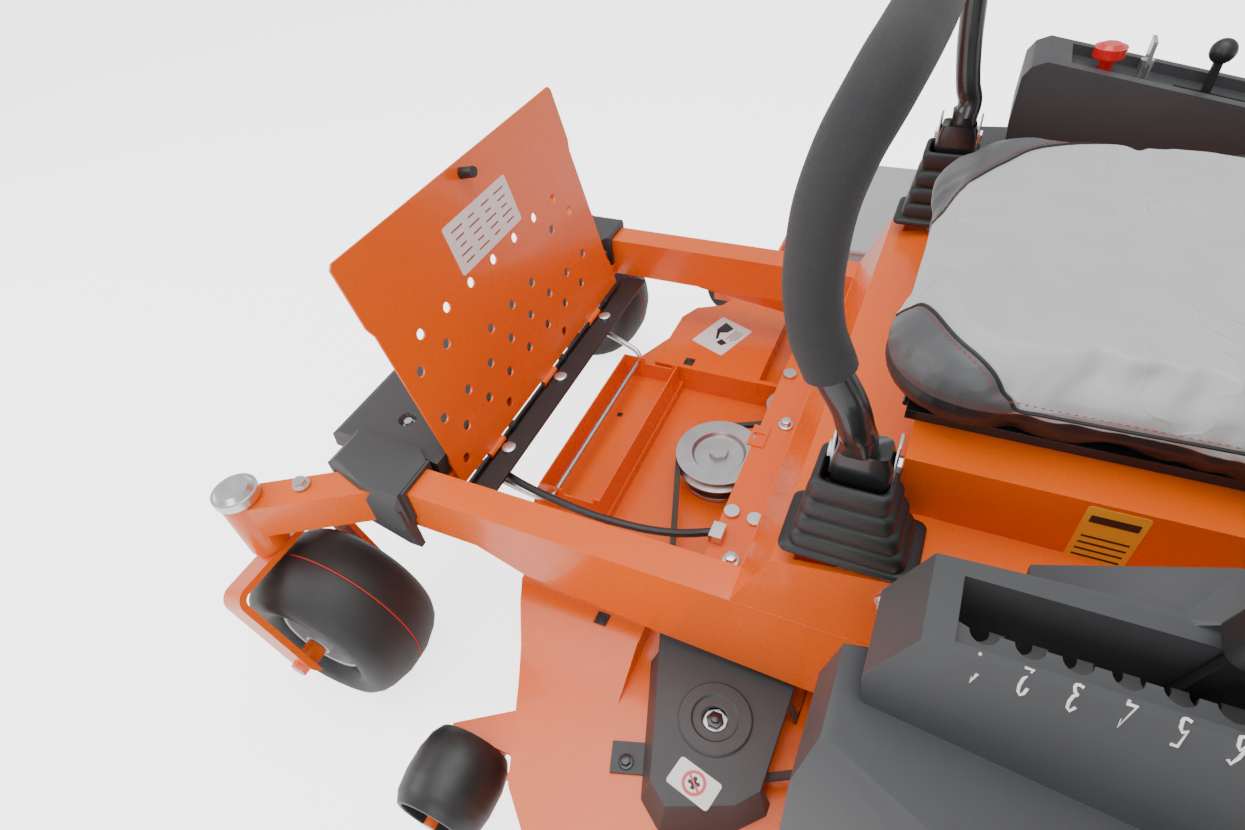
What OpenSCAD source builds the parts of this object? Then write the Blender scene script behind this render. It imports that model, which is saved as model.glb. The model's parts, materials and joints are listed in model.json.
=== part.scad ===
// Zero turn ride-on mower, three blade deck, floor pan tipped open.
// +X is the operator's left, -Y is the front, +Z is up, the ground is z = 0.

/* [Chassis] */
// Half width of the frame over the rails
frame_half = 349; // [330:1:370]
// Width of a rail tube
rail_w = 47; // [40:1:55]
// Height of the rail tops above the ground
rail_top = 393; // [380:1:405]
// Height of a rail tube
rail_h = 73; // [60:1:80]
// Distance from the rear axle forward to the mitre between rail and seat box
mitre_y = 582; // [570:1:600]

/* [Casters] */
// Distance from the rear axle forward to the caster swivels
swivel_y = 1249; // [1230:1:1270]
// Distance of each swivel from the centre plane
swivel_x = 436; // [425:1:450]
// Trail of the caster wheel behind its swivel
trail = 67; // [55:1:75]
// Radius of a caster tyre
caster_r = 140; // [130:1:142]
// Width of a caster tyre
caster_w = 150; // [140:1:156]

/* [Drive wheels] */
// Radius of a drive tyre
drive_r = 228.5; // [220:0.5:232]
// Width of a drive tyre
drive_w = 241; // [220:1:245]
// Distance of each drive wheel centre from the centre plane
drive_x = 530; // [525:1:545]

/* [Cutting deck] */
// Height of the deck's raised top
deck_top = 225; // [220:1:230]
// Height of the lower edge of the deck skirt
deck_bottom = 100; // [95:1:110]
// Sideways distance of the outer spindles
spindle_x = 418; // [410:1:425]
// Forward distance of the outer spindles
spindle_y = 575; // [570:1:580]
// Forward distance of the centre spindle
centre_y = 714; // [710:1:718]
// Radius of a blade tip
blade_r = 209; // [200:1:215]
// Height of the blades
blade_z = 114; // [112:1:118]

/* [Floor pan] */
// Forward distance of the floor pan hinge
hinge_y = 1009; // [1005:1:1012]
// Height of the floor pan hinge
hinge_z = 320; // [319:0.5:322]
// Length of the pan from the hinge to its free edge
pan_l = 375; // [360:1:378]
// Half width of the pan
pan_half = 267; // [255:1:280]
// Angle that the pan stands open
pan_open = 102.3; // [90:0.1:105]

/* [Seat] */
// Half width of the seat
seat_half = 255; // [240:1:260]
// Height of the underside of the cushion
seat_z = 602; // [600:1:606]

/* [Height lever] */
// Height of the lift shaft, the pivot of the height lever
lift_z = 290; // [286:1:294]
// Forward distance of the lift shaft
lift_y = 296; // [290:1:302]

/* [Hidden] */

orange = "orangered";
dark = "dimgray";
black = "#202022";
steel = "silver";

// The frame stands with the middle of its footprint at the origin
shift_x = 164;
shift_y = 401;

rail_z = rail_top - rail_h;
rail_x = frame_half - rail_w;
rail_front = 1066;
rail_back = 400;
axle_z = caster_r;
axle_y = swivel_y - trail;
arm_start = [325, -1062];
pulley_r = 70;
pulley_z = 206;
belt_t = 9;
fork_tilt = atan(trail / (288 - axle_z));
running = 0.05;
tank_x = 455;
tank_y = 110;

module place() {
    translate([shift_x, shift_y, 0]) children();
}

// Draws its children on the left, or mirrored on the right
module side(s) {
    if (s > 0) children();
    else mirror([1, 0, 0]) children();
}

// A rectangle with round corners, centred
module round_rect(w, d, r) {
    square([w - 2 * r, d], center = true);
    square([w, d - 2 * r], center = true);
    for (a = [-1, 1], b = [-1, 1])
        translate([a * (w / 2 - r), b * (d / 2 - r)]) circle(r = r, $fn = 32);
}

// A round bar between two points
module bar(p, q, r) {
    d = q - p;
    len = norm(d);
    translate(p)
        rotate([0, acos(d[2] / len), atan2(d[1], d[0])])
            cylinder(h = len, r = r, $fn = 48);
}

// A round bar that follows a list of points
module bent_bar(points, r) {
    for (i = [0 : len(points) - 2]) bar(points[i], points[i + 1], r);
    for (i = [1 : len(points) - 2]) translate(points[i]) sphere(r = r, $fn = 48);
}

// A cylinder along X, centred
module axle(r, len) {
    rotate([0, 90, 0]) cylinder(h = len, r = r, center = true, $fn = 64);
}

// A side profile in (y, z) extruded along X from x0
module profile_x(points, x0, w) {
    translate([x0, 0, 0])
        rotate([90, 0, 90])
            linear_extrude(w) polygon(points);
}

// A hexagon bolt head with its flange, pointing up
module bolt_head(r) {
    cylinder(h = r * 0.35, r = r * 1.35, $fn = 32);
    translate([0, 0, r * 0.3]) cylinder(h = r * 0.9, r = r, $fn = 6);
}

// ---- chassis ----

// Tube, stiffening side plate, splayed arm and swivel barrel of one side
module rail() {
    arm_end = [swivel_x, -swivel_y];
    arm_d = arm_end - arm_start;
    arm_a = atan2(arm_d[1], arm_d[0]);
    difference() {
        union() {
            difference() {
                translate([rail_x, -rail_front, rail_z])
                    cube([rail_w, rail_front + rail_back, rail_h]);
                translate([rail_x + 4, -rail_front + 4, rail_z + 4])
                    cube([rail_w - 8, rail_front + rail_back - 8, rail_h - 8]);
            }
            profile_x([[-950, rail_z + 6], [-871, 286], [-680, 260], [-491, 247], [-330, 247],
                [-250, rail_z + 6]], frame_half - 4, 4);
            translate([arm_start[0], arm_start[1], rail_top - 60])
                rotate([0, 0, arm_a])
                    difference() {
                        translate([-8, -24, 0]) cube([norm(arm_d) + 8, 48, 59]);
                        translate([0, -20, 4]) cube([norm(arm_d) - 40, 40, 51]);
                    }
            translate([swivel_x, -swivel_y, 297]) cylinder(h = 100, r = 28.5, $fn = 64);
        }
        translate([swivel_x, -swivel_y, 290])
            cylinder(h = 120, r = 12.7 + running, $fn = 64);
        translate([frame_half, -lift_y, lift_z]) axle(8.9 + running, 20);
    }
}

module left_rail() color(orange) place() side(1) rail();
module right_rail() color(orange) place() side(-1) rail();

// Channel in front of the pan hinge, and the cross member behind the floor opening
module cross_members() color(orange) place() {
    difference() {
        translate([-rail_x, -rail_front, 322]) cube([2 * rail_x, 40, 20]);
        translate([-rail_x + 3, -rail_front + 3, 321]) cube([2 * rail_x - 6, 34, 18]);
    }
    for (s = [1, -1]) side(s)
        translate([176, -rail_front - 44, 262]) difference() {
            cube([10, 60, 60.5]);
            translate([-1, 14, 10]) cube([12, 56, 22]);
        }
    difference() {
        translate([-rail_x, -654, 250]) cube([2 * rail_x, 66, 35]);
        translate([-rail_x + 4, -650, 249]) cube([2 * rail_x - 8, 58, 32]);
    }
    translate([-22, -662, 285]) difference() {
        cube([44, 26, 3]);
        translate([16, 4, -1]) cube([12, 18, 5]);
    }
}

// Folded sheet box that carries the seat and the control levers
module seat_box() color(orange) place() {
    wide = frame_half - 0.5;
    difference() {
        union() {
            profile_x([[-587.5, 258], [-587.5, 285], [-mitre_y, rail_top + 1], [-60, rail_top + 1],
                [-60, rail_top - 12], [-330, rail_top - 12], [-330, 258]],
                -rail_x + 0.5, 2 * rail_x - 1);
            profile_x([[-mitre_y + 1, rail_top + 0.5], [-539, 492], [-414, 515], [-60, 515],
                [-60, rail_top + 0.5]], -wide, 2 * wide);
        }
        profile_x([[-584, 250], [-584, 284], [-578, rail_top + 1], [-63, rail_top + 1],
            [-63, 380], [-334, 380], [-334, 250]], -rail_x + 4, 2 * rail_x - 8);
        profile_x([[-577, rail_top], [-536, 489], [-413, 511], [-63, 511], [-63, rail_top]],
            -wide + 3.5, 2 * wide - 7);
        for (s = [1, -1]) side(s) {
            translate([292, -518, 470]) cube([50, 112, 60]);
            translate([280, -340, 268]) cube([17.5, 20, 84]);
        }
    }
    difference() {
        translate([-262, -440, 513]) cube([524, 380, 77]);
        translate([-259, -437, 512]) cube([518, 374, 75]);
        translate([-140, -380, 580]) cube([280, 260, 20]);
    }
    translate([-rail_x + 2, -262, 388]) cube([2 * rail_x - 4, 202, 4]);
}

// Moulded footrest between the rail fronts with a cap over each corner
module footrest() color(dark) place() {
    difference() {
        union() {
            profile_x([[-1226, 352], [-1222, 378], [-1204, 388], [-1062, 388], [-1030, 380],
                [-1030, 348], [-1180, 346]], -282, 564);
            for (s = [1, -1]) side(s) corner_cap();
        }
        for (s = [1, -1]) side(s) {
            translate([226, -1120, 376]) cylinder(h = 40, r = 14, $fn = 48);
            translate([0, -rail_front - 1, 321]) cube([rail_x + 1, 42, 22]);
            translate([rail_x - 1, -rail_front - 2, rail_z - 3])
                cube([rail_w + 2, 200, rail_h + 4]);
            translate([arm_start[0], arm_start[1], rail_top - 63])
                rotate([0, 0, atan2(-swivel_y - arm_start[1], swivel_x - arm_start[0])])
                    translate([-20, -26, 0]) cube([200, 52, 64]);
        }
    }
}

module corner_cap() {
    hull() {
        translate([272, -1172, 345]) cube([70, 110, 50]);
        translate([290, -1160, 345]) cube([44, 90, 58]);
        translate([296, -1092, 345]) cube([66, 60, 56]);
        translate([352, -1110, 330]) cube([18, 70, 50]);
    }
    hull() {
        translate([352.5, -1110, 330]) cube([16, 76, 40]);
        translate([352.5, -1052, 286]) cube([9, 20, 20]);
    }
    translate([294, -1050, 343]) cube([62, 22, 57]);
}

module hinge_strip() color(black) place() {
    translate([-301, -hinge_y + 6.5, hinge_z - 9]) cube([602, 36, 5]);
    for (x = [-171, 3, 174])
        translate([x, -991, hinge_z - 4.5]) cylinder(h = 4, r = 10, $fn = 32);
    for (x = [-215, -45, 125])
        translate([x, -hinge_y - 3, hinge_z - 14]) cube([12, 30, 6]);
    for (x = [-209, -39, 131])
        translate([x, -hinge_y, hinge_z]) difference() {
            union() {
                axle(5.5, 12);
                translate([-6, -3, -10]) cube([12, 6, 9]);
            }
        }
    translate([0, -hinge_y, hinge_z]) axle(3, 534);
}

// ---- moulded consoles ----

module left_console() color(dark) place() {
    difference() {
        union() {
            hull() {
                translate([405, -405, 644]) cube([74, 6, 6]);
                translate([412, -434, 588]) cube([76, 6, 6]);
                translate([420, -424, 530]) cube([76, 6, 6]);
                translate([384, -6, 644]) cube([95, 6, 6]);
                translate([400, -6, 530]) cube([110, 6, 6]);
            }
            fender_front();
            hull() {
                translate([358, -334, 600]) cube([30, 6, 6]);
                translate([360, -222, 560]) cube([45, 190, 104]);
                translate([380, -334, 546]) cube([30, 296, 50]);
            }
            wheel_arch();
        }
        translate([418, -384, 420]) cube([54, 196, 300]);
        translate([406, -328, 300]) cube([92, 296, 233]);
    }
    notch_plate();
}

// Front part of a fender, in front of the drive wheel
module fender_front() {
    hull() {
        translate([450, -452, 552]) cube([80, 10, 10]);
        translate([455, -466, 500]) cube([95, 10, 10]);
        translate([480, -466, 424]) cube([90, 10, 10]);
        translate([520, -451, 360]) cube([70, 10, 10]);
        translate([400, -248, 530]) cube([210, 7, 10]);
        translate([400, -248, 424]) cube([251, 7, 50]);
        translate([500, -290, 360]) cube([150, 10, 10]);
    }
}

// Rear part of a fender, over the drive wheel
module wheel_arch() {
    hull() {
        translate([372, -250, 470]) cube([282, 12, 30]);
        translate([372, 250, 470]) cube([282, 12, 20]);
        translate([372, -200, 500]) cube([250, 340, 38]);
    }
    difference() {
        translate([372, -250, 400]) cube([282, 512, 90]);
        translate([380, -238, 390]) cube([290, 488, 90]);
    }
}

// Plate with six round notches beside the slot
module notch_plate() {
    translate([429, -392, 604])
        linear_extrude(3)
            difference() {
                square([45, 206]);
                for (i = [0 : 5])
                    translate([2, 26 + 28.2 * i]) circle(r = 9, $fn = 32);
            }
}

module right_console() color(dark) place() {
    difference() {
        union() {
            profile_x([[-406, 530], [-412, 640], [-411, 700], [-402, 714], [-385, 721],
                [-6, 652], [-6, 530]], -475, 103);
            mirror([1, 0, 0]) {
                fender_front();
                wheel_arch();
            }
        }
        profile_x([[-356, 760], [-356, 702], [-30, 642], [-30, 760]], -462, 74);
        translate([-500, -330, 300]) cube([100, 300, 240]);
        translate([-425, -313, 600]) cylinder(h = 160, r = 9 + running, $fn = 48);
        translate([-425, -267, 600]) cylinder(h = 160, r = 8 + running, $fn = 48);
        translate([-436, -226, 530]) cube([14, 110, 200]);
    }
    translate([-445, -189, 606]) axle(5, 60);
}

// ---- soft boots ----

module boot() {
    difference() {
        union() {
            translate([276, -534, 516]) cube([73, 128, 8]);
            for (i = [0 : 2])
                translate([314 + i, -471 - 2 * i, 523 + 24 * i])
                    linear_extrude(26) round_rect(68 - 4 * i, 108 - 12 * i, 10);
            translate([318, -476, 594]) linear_extrude(28) round_rect(56, 72, 10);
        }
        translate([318, -472, 500]) linear_extrude(150) round_rect(44, 58, 8);
    }
}

module left_boot() color(black) place() side(1) boot();
module right_boot() color(black) place() side(-1) boot();

// ---- inner equipment ----

module battery() color(black) place() {
    translate([-100, -250, 392.5]) cube([175, 130, 105]);
    for (x = [-80, 55]) translate([x, -185, 497]) cylinder(h = 6, r = 8, $fn = 32);
}

module fuel_tank() color(black) place() {
    difference() {
        union() {
            hull() {
                translate([384, 14, 560]) cube([150, 10, 100]);
                translate([384, 14, 540]) cube([170, 232, 20]);
                translate([384, 236, 560]) cube([140, 10, 70]);
                translate([400, 60, 670]) cube([110, 120, 10]);
            }
            translate([tank_x, tank_y, 676]) cylinder(h = 20, r = 32, $fn = 48);
        }
        translate([tank_x, tank_y, 640]) cylinder(h = 80, r = 26.6 + running, $fn = 48);
    }
}

module fuel_cap() color(black) place() {
    translate([tank_x, tank_y, 696.4]) cylinder(h = 18, r = 40, $fn = 48);
    translate([tank_x, tank_y, 664]) cylinder(h = 33, r = 26.6, $fn = 48);
}

module engine_block() color(steel) place() {
    translate([0, 190, 399]) cylinder(h = 120, r = 110, $fn = 64);
    for (a = [35, 145])
        translate([0, 190, 470])
            rotate([0, 0, a])
                for (i = [0 : 5])
                    translate([100 + 14 * i, -55, -45]) cube([9, 110, 100]);
    for (a = [35, 145])
        translate([0, 190, 475])
            rotate([0, 0, a])
                translate([60, -38, -32]) cube([140, 76, 74]);
}

module engine_shroud() color(black) place() {
    difference() {
        translate([0, 190, 535]) cylinder(h = 150, r = 175, $fn = 64);
        translate([0, 190, 530]) cylinder(h = 145, r = 168, $fn = 64);
        translate([0, 190, 670]) cylinder(h = 30, r = 110, $fn = 64);
    }
    difference() {
        translate([0, 190, 680]) cylinder(h = 26, r = 122, $fn = 64);
        translate([0, 190, 684]) cylinder(h = 30, r = 112, $fn = 64);
    }
}

module muffler() color(dark) place() {
    translate([-190, 400, 470])
        rotate([0, 90, 0]) cylinder(h = 300, r = 52, $fn = 48);
    for (x = [-140, 60])
        bent_bar([[x, 320, 470], [x, 352, 470]], 15);
    bent_bar([[110, 400, 470], [160, 400, 470], [176, 430, 455]], 15);
}

module transaxles() color("gray") place() {
    for (s = [1, -1]) side(s) {
        difference() {
            translate([245, -72, 160]) cube([140, 180, 132]);
            translate([240, 60, 230]) cube([150, 60, 80]);
        }
        translate([384, 0, drive_r]) rotate([0, 90, 0]) cylinder(h = 31, r = 38, $fn = 48);
        translate([414, 0, drive_r]) rotate([0, 90, 0]) cylinder(h = 126, r = 17, $fn = 48);
        translate([300, 30, 291]) cylinder(h = 8, r = 30, $fn = 48);
        translate([rail_x - 30, -60, 288]) cube([60, 20, 31.5]);
    }
}

// Engine plate between the rails, with the guard and the hitch plate behind the engine
module rear_frame() color(orange) place() {
    difference() {
        translate([-rail_x - 30, -56, rail_top + 0.5]) cube([2 * rail_x + 60, 450, 5]);
        translate([0, 190, rail_top - 10]) cylinder(h = 30, r = 60, $fn = 64);
    }
    for (s = [1, -1]) side(s) {
        translate([rail_x - 8, -50, rail_z + 4]) cube([7.5, 540, rail_h - 2]);
        translate([rail_x - 8, rail_back + 0.5, rail_z]) cube([50, 90, rail_h]);
        translate([rail_x + 6, 452, rail_z]) cube([36, 38, 180]);
    }
    translate([-rail_x - 42, 489.5, rail_z + 6]) cube([2 * rail_x + 84, 30.5, 60]);
    translate([-rail_x - 42, 489, rail_z + 140]) cube([2 * rail_x + 84, 30, 40]);
    difference() {
        translate([-45, 438, rail_z]) cube([90, 70, 6.5]);
        translate([0, 465, rail_z - 1]) cylinder(h = 10, r = 9.5, $fn = 64);
    }
}

// ---- wiring ----

loom_r = 6;
loom_route = [[190, -1030, 290], [200, -1000, 294], [211, -965, 295], [218, -925, 292],
    [222, -880, 288], [224, -835, 284], [222, -790, 281], [218, -745, 280],
    [212, -705, 283], [207, -680, 288], [202, -662, 292], [197, -645, 293]];

// Point on a Catmull-Rom curve through four points
function curve_at(p, q, r, s, t) =
    0.5 * (2 * q + (r - p) * t + (2 * p - 5 * q + 4 * r - s) * t * t
        + (3 * q - p - 3 * r + s) * t * t * t);

function route_points(p, n) = [
    for (i = [0 : len(p) - 2], k = [0 : n - 1])
        curve_at(p[max(i - 1, 0)], p[i], p[i + 1], p[min(i + 2, len(p) - 1)], k / n),
    p[len(p) - 1]];

// Rings of a tube swept along points that never run parallel to the vector up
function tube_rings(p, r, sides, up) = [
    for (i = [0 : len(p) - 1])
        let (a = p[max(i - 1, 0)], b = p[min(i + 1, len(p) - 1)], d = (b - a) / norm(b - a),
            u = cross(d, up) / norm(cross(d, up)), v = cross(d, u))
        for (k = [0 : sides - 1])
            p[i] + r * (cos(360 * k / sides) * u + sin(360 * k / sides) * v)];

module swept_tube(route, r, sides, n, up = [0, 0, 1]) {
    p = route_points(route, n);
    rings = len(p);
    last = (rings - 1) * sides;
    polyhedron(points = tube_rings(p, r, sides, up), faces = [
        [for (k = [0 : sides - 1]) k],
        for (i = [0 : rings - 2], k = [0 : sides - 1])
            [i * sides + k, (i + 1) * sides + k, (i + 1) * sides + (k + 1) % sides,
                i * sides + (k + 1) % sides],
        [for (k = [sides - 1 : -1 : 0]) last + k]]);
}

module wiring_loom() color(black) place() {
    swept_tube(loom_route, loom_r, 8, 3);
}

// ---- fasteners ----

module frame_bolts() color(steel) place() {
    arm_mid = [387, -1180, rail_top + 0.3];
    for (s = [1, -1]) side(s) {
        translate(arm_mid) bolt_head(9);
        translate([153, -642, 285.5]) cylinder(h = 5, r = 11, $fn = 32);
        translate([155, -608, 285.5]) cylinder(h = 4, r = 11, $fn = 32);
        translate([frame_half + 0.5, -427, 483]) rotate([0, 90, 0]) bolt_head(7);
        translate([226, -1120, 376.5]) bolt_head(7);
        translate([pivot_p[0], pivot_p[1], pivot_p[2]]) axle(6, 52);
    }
    translate([186, -656, 285.5]) cube([26, 18, 16]);
}

module barrel_caps() color(steel) place() {
    for (s = [1, -1]) side(s)
        translate([swivel_x, -swivel_y, 397.5]) difference() {
            union() {
                cylinder(h = 12, r = 31, $fn = 64);
                translate([0, 0, 11]) cylinder(h = 8, r1 = 28, r2 = 22, $fn = 64);
            }
            translate([0, 0, -1]) cylinder(h = 9, r = 14, $fn = 64);
        }
}

// ---- casters ----

// Bent flat bar fork with its swivel stem and wheel axle
module fork() {
    translate([swivel_x, -axle_y, axle_z]) {
        rotate([fork_tilt, 0, 0]) {
            rotate([90, 0, 0])
                linear_extrude(50, center = true)
                    difference() {
                        translate([0, 68]) round_rect(198, 180, 22);
                        translate([0, 58]) round_rect(178, 180, 12);
                        translate([-120, -60]) square([240, 38]);
                    }
        }
        axle(9.5, 196);
        for (s = [-1, 1])
            translate([s * 102, 0, 0]) rotate([0, 90, 0])
                cylinder(h = 10, r = 13, center = true, $fn = 6);
        for (s = [-1, 1]) translate([s * 77, 0, 0]) axle(16, 24);
    }
    translate([swivel_x, -swivel_y, 282]) cylinder(h = 14.6, r = 24, $fn = 64);
    translate([swivel_x, -swivel_y, 290]) cylinder(h = 112, r = 12.7, $fn = 64);
}

module left_fork() color(orange) place() side(1) fork();
module right_fork() color(orange) place() side(-1) fork();

// Solid of revolution of a tyre about X, bead radius to crown
module tyre_body(r, bead, w, round_r) {
    rotate([0, 90, 0])
        rotate_extrude($fn = 96) {
            translate([bead, -w / 2 + round_r]) square([r - bead, w - 2 * round_r]);
            translate([bead, -w / 2 + 6]) square([r - round_r - bead, w - 12]);
            for (s = [-1, 1])
                translate([r - round_r, s * (w / 2 - round_r)]) circle(r = round_r, $fn = 48);
        }
}

// Wheel rim with hub about X
module rim_body(r, w, hub_r, bore, hub_w) {
    rotate([0, 90, 0])
        rotate_extrude($fn = 96) {
            translate([r - 6, -w / 2]) square([6, w]);
            translate([hub_r - 2, -5]) square([r - hub_r - 2, 10]);
            translate([bore, -hub_w / 2]) square([hub_r - bore, hub_w]);
        }
}

module caster_tyre() {
    translate([swivel_x, -axle_y, axle_z]) tyre_body(caster_r, 68, caster_w, 34);
}

module caster_rim() {
    translate([swivel_x, -axle_y, axle_z]) rim_body(67.6, 112, 21, 9.5 + running, 128);
}

module left_caster_rim() color("gray") place() side(1) caster_rim();
module right_caster_rim() color("gray") place() side(-1) caster_rim();
module left_caster_tyre() color(black) place() side(1) caster_tyre();
module right_caster_tyre() color(black) place() side(-1) caster_tyre();

// ---- drive wheels ----

module drive_tyre() {
    translate([drive_x, 0, drive_r]) tyre_body(drive_r, 102, drive_w, 44);
}

module drive_rim() {
    translate([drive_x, 0, drive_r]) difference() {
        rim_body(101.6, 200, 60, 17 + running, 24);
        for (a = [0 : 90 : 270])
            rotate([a + 45, 0, 0]) translate([0, 80, 0]) axle(8, 40);
    }
    translate([drive_x - 50, 0, drive_r]) axle_sleeve();
}

// Hub flange that the rim is bolted to, around the transaxle's shaft
module axle_sleeve() {
    difference() {
        axle(34, 90);
        axle(17 + running, 100);
    }
}

module left_drive_rim() color(steel) place() side(1) drive_rim();
module right_drive_rim() color(steel) place() side(-1) drive_rim();
module left_drive_tyre() color(black) place() side(1) drive_tyre();
module right_drive_tyre() color(black) place() side(-1) drive_tyre();

// ---- control levers ----

pivot_p = [318, -472, 480];
swing_z = 160;

// Fore and aft rocker inside the boot, with the cross pin that the lever swings on
module pivot_body() {
    translate(pivot_p) difference() {
        union() {
            translate([-9, -14, -13]) cube([18, 28, 185]);
            translate([0, 0, swing_z]) rotate([90, 0, 0])
                cylinder(h = 48, r = 5, center = true, $fn = 48);
        }
        axle(6 + running, 60);
    }
}

module left_pivot() color(steel) place() side(1) pivot_body();
module right_pivot() color(steel) place() side(-1) pivot_body();

// Centre line of each control tube, from its foot up and inwards
left_tube = [[322, -478, 662], [328, -483, 682], [330, -490, 705],
    [330, -508, 738], [330, -523, 778], [330, -527, 847], [329, -517, 905], [316, -503, 942],
    [270, -496, 956], [190, -494, 958], [90, -494, 958]];
right_tube = [[322, -468, 662], [328, -467, 682], [328, -473, 700],
    [330, -481, 738], [330, -486, 778], [330, -491, 847], [329, -491, 905], [316, -488, 942],
    [270, -486, 956], [190, -485, 958], [90, -485, 958]];

// Control tube of one side, with its foot bracket around the rocker
module lever_body(tube) {
    swept_tube(tube, 15.5, 12, 3, [0, 1, 0]);
    translate(pivot_p) {
        for (s = [-1, 1]) difference() {
            translate([-10, s * 20 - 4, 134]) cube([20, 8, 44]);
            translate([0, 0, swing_z]) rotate([90, 0, 0])
                cylinder(h = 70, r = 5 + running, center = true, $fn = 48);
        }
        translate([-12, -24, 175.5]) cube([26, 48, 12]);
    }
}

module left_lever() color(black) place() side(1) lever_body(left_tube);
module right_lever() color(black) place() side(-1) lever_body(right_tube);

// Foam sleeve over the upper tube
module grip_body(tube, first) {
    last = len(tube) - 1;
    p = route_points(tube, 3);
    cut = [for (i = [3 * first : len(p) - 1]) p[i]];
    sleeve(cut, 21.5, 16, 16, [0, 1, 0]);
}

// A sleeve with open ends along a list of points
module sleeve(p, outer, inner, sides, up) {
    n = len(p);
    a = tube_rings(p, outer, sides, up);
    b = tube_rings(p, inner, sides, up);
    m = n * sides;
    end = (n - 1) * sides;
    polyhedron(points = concat(a, b), faces = concat(
        [for (i = [0 : n - 2], k = [0 : sides - 1])
            [i * sides + k, (i + 1) * sides + k, (i + 1) * sides + (k + 1) % sides,
                i * sides + (k + 1) % sides]],
        [for (i = [0 : n - 2], k = [0 : sides - 1])
            [m + i * sides + (k + 1) % sides, m + (i + 1) * sides + (k + 1) % sides,
                m + (i + 1) * sides + k, m + i * sides + k]],
        [for (k = [0 : sides - 1]) [k, (k + 1) % sides, m + (k + 1) % sides, m + k]],
        [for (k = [0 : sides - 1])
            [end + (k + 1) % sides, end + k, m + end + k, m + end + (k + 1) % sides]]));
}

module left_grip() color(dark) place() side(1) grip_body(left_tube, 3);
module right_grip() color(dark) place() side(-1) grip_body(right_tube, 5);

// ---- floor pan ----

pan_t = 3.5;
pan_hole_r = 7.5;
pan_hole_pitch = 62;
// Each row of drain holes: distance from the hinge, sideways offset, places of its holes
pan_rows = [[228, 14, [-3, -2, -1, 0, 1, 2, 3]], [189, -17, [-3, -2, 3, 4]],
    [150, 18, [-1, 0, 1]], [110, -12, [-3, -2, -1, 0, 1, 2, 3, 4]],
    [71, 22, [-3, -2, -1, 0, 1, 2, 3]], [33, -10, [-1, 2, 4]]];
stud_at = [2, 358];

// Pan lying closed, hinge at the origin and free edge towards +Y
module pan_flat() {
    w = pan_half;
    union() {
        translate([0, 0, 0.2]) linear_extrude(pan_t) difference() {
            polygon([[-w, 6], [-w, 50], [-w + 4, 60], [-w + 4, 270], [-w - 2, 286],
                [-w - 2, pan_l - 6], [-w + 4, pan_l], [w - 4, pan_l], [w + 2, pan_l - 6],
                [w + 2, 286], [w - 4, 270], [w - 4, 60], [w, 50], [w, 6]]);
            for (row = pan_rows, k = row[2])
                translate([row[1] + k * pan_hole_pitch, row[0]])
                    circle(r = pan_hole_r, $fn = 24);
            translate(stud_at) circle(r = 8, $fn = 24);
        }
    }
    for (x = [-180, -10, 160]) difference() {
        union() {
            translate([x + 20, 0, 0]) axle(5.5, 40);
            translate([x, 0, 0.2]) cube([40, 10, pan_t]);
        }
        translate([x + 20, 0, 0]) axle(3 + running, 50);
    }
}

module pan_at_rest() {
    translate([0, -hinge_y, hinge_z]) rotate([pan_open, 0, 0]) children();
}

module floor_pan() color(orange) place() pan_at_rest() pan_flat();

module pan_latch() color(black) place() pan_at_rest() translate([stud_at[0], stud_at[1], 0]) {
    translate([0, 0, -22]) cylinder(h = 32, r = 7.9, $fn = 48);
    translate([-26, -6, 6]) cube([52, 12, 13]);
    translate([-9, -3, -22]) cube([18, 6, 4]);
}

// ---- seat ----

module seat_pan() color(black) place() {
    difference() {
        translate([-210, -450, 590.5]) cube([420, 400, 11]);
        translate([-207, -447, 589]) cube([414, 394, 9]);
    }
    for (s = [1, -1]) side(s) translate([170, -452, 591]) axle(3, 40);
}

module seat_cushion() color(dark) place() {
    hull() {
        for (x = [-1, 1], y = [-440, -120])
            translate([x * (seat_half - 70), y, seat_z + 4])
                cylinder(h = 36, r = 70, $fn = 32);
        for (x = [-1, 1], y = [-425, -130])
            translate([x * (seat_half - 90), y, seat_z + 30])
                cylinder(h = 56, r = 60, $fn = 32);
    }
}

module seat_back() color(dark) place() {
    hull() {
        for (x = [-1, 1])
            translate([x * 160, -72, seat_z + 90]) cylinder(h = 20, r = 40, $fn = 32);
        for (x = [-1, 1])
            translate([x * 170, 10, 1040]) cylinder(h = 30, r = 34, $fn = 32);
        for (x = [-1, 1])
            translate([x * 185, -30, 860]) cylinder(h = 20, r = 44, $fn = 32);
    }
}

// ---- deck ----

function mirrored(p) = [
    for (q = p) q,
    for (i = [len(p) - 1 : -1 : 0]) [-p[i][0], p[i][1]]];

// Moves an outline point towards the middle of the deck
function inward(p, t) =
    let (c = [0, -640], d = p - c)
    c + d * (1 - t / norm(d));

deck_half = [[0.1, -985], [150, -985], [300, -917], [451, -842], [570, -788], [640, -712],
    [655, -600], [655, -470], [612, -382], [430, -345], [250, -372], [120, -450], [0.1, -466]];
low_top = 190;
chute_x = -662;
chute_z = 214;
well_floor = 172;

module deck_plate(z, h, t) {
    translate([0, 0, z])
        linear_extrude(h) polygon(mirrored([for (p = deck_half) inward(p, t)]));
}

// Raised front corner of the deck, sloping outwards, closed underneath by nothing
module raised_corner(x0) {
    rotate([90, 0, 0])
        translate([0, 0, 704])
            linear_extrude(198)
                polygon([[x0, low_top - 6], [x0, deck_top], [360, deck_top],
                    [432, low_top - 1], [432, low_top - 6]]);
}

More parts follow.
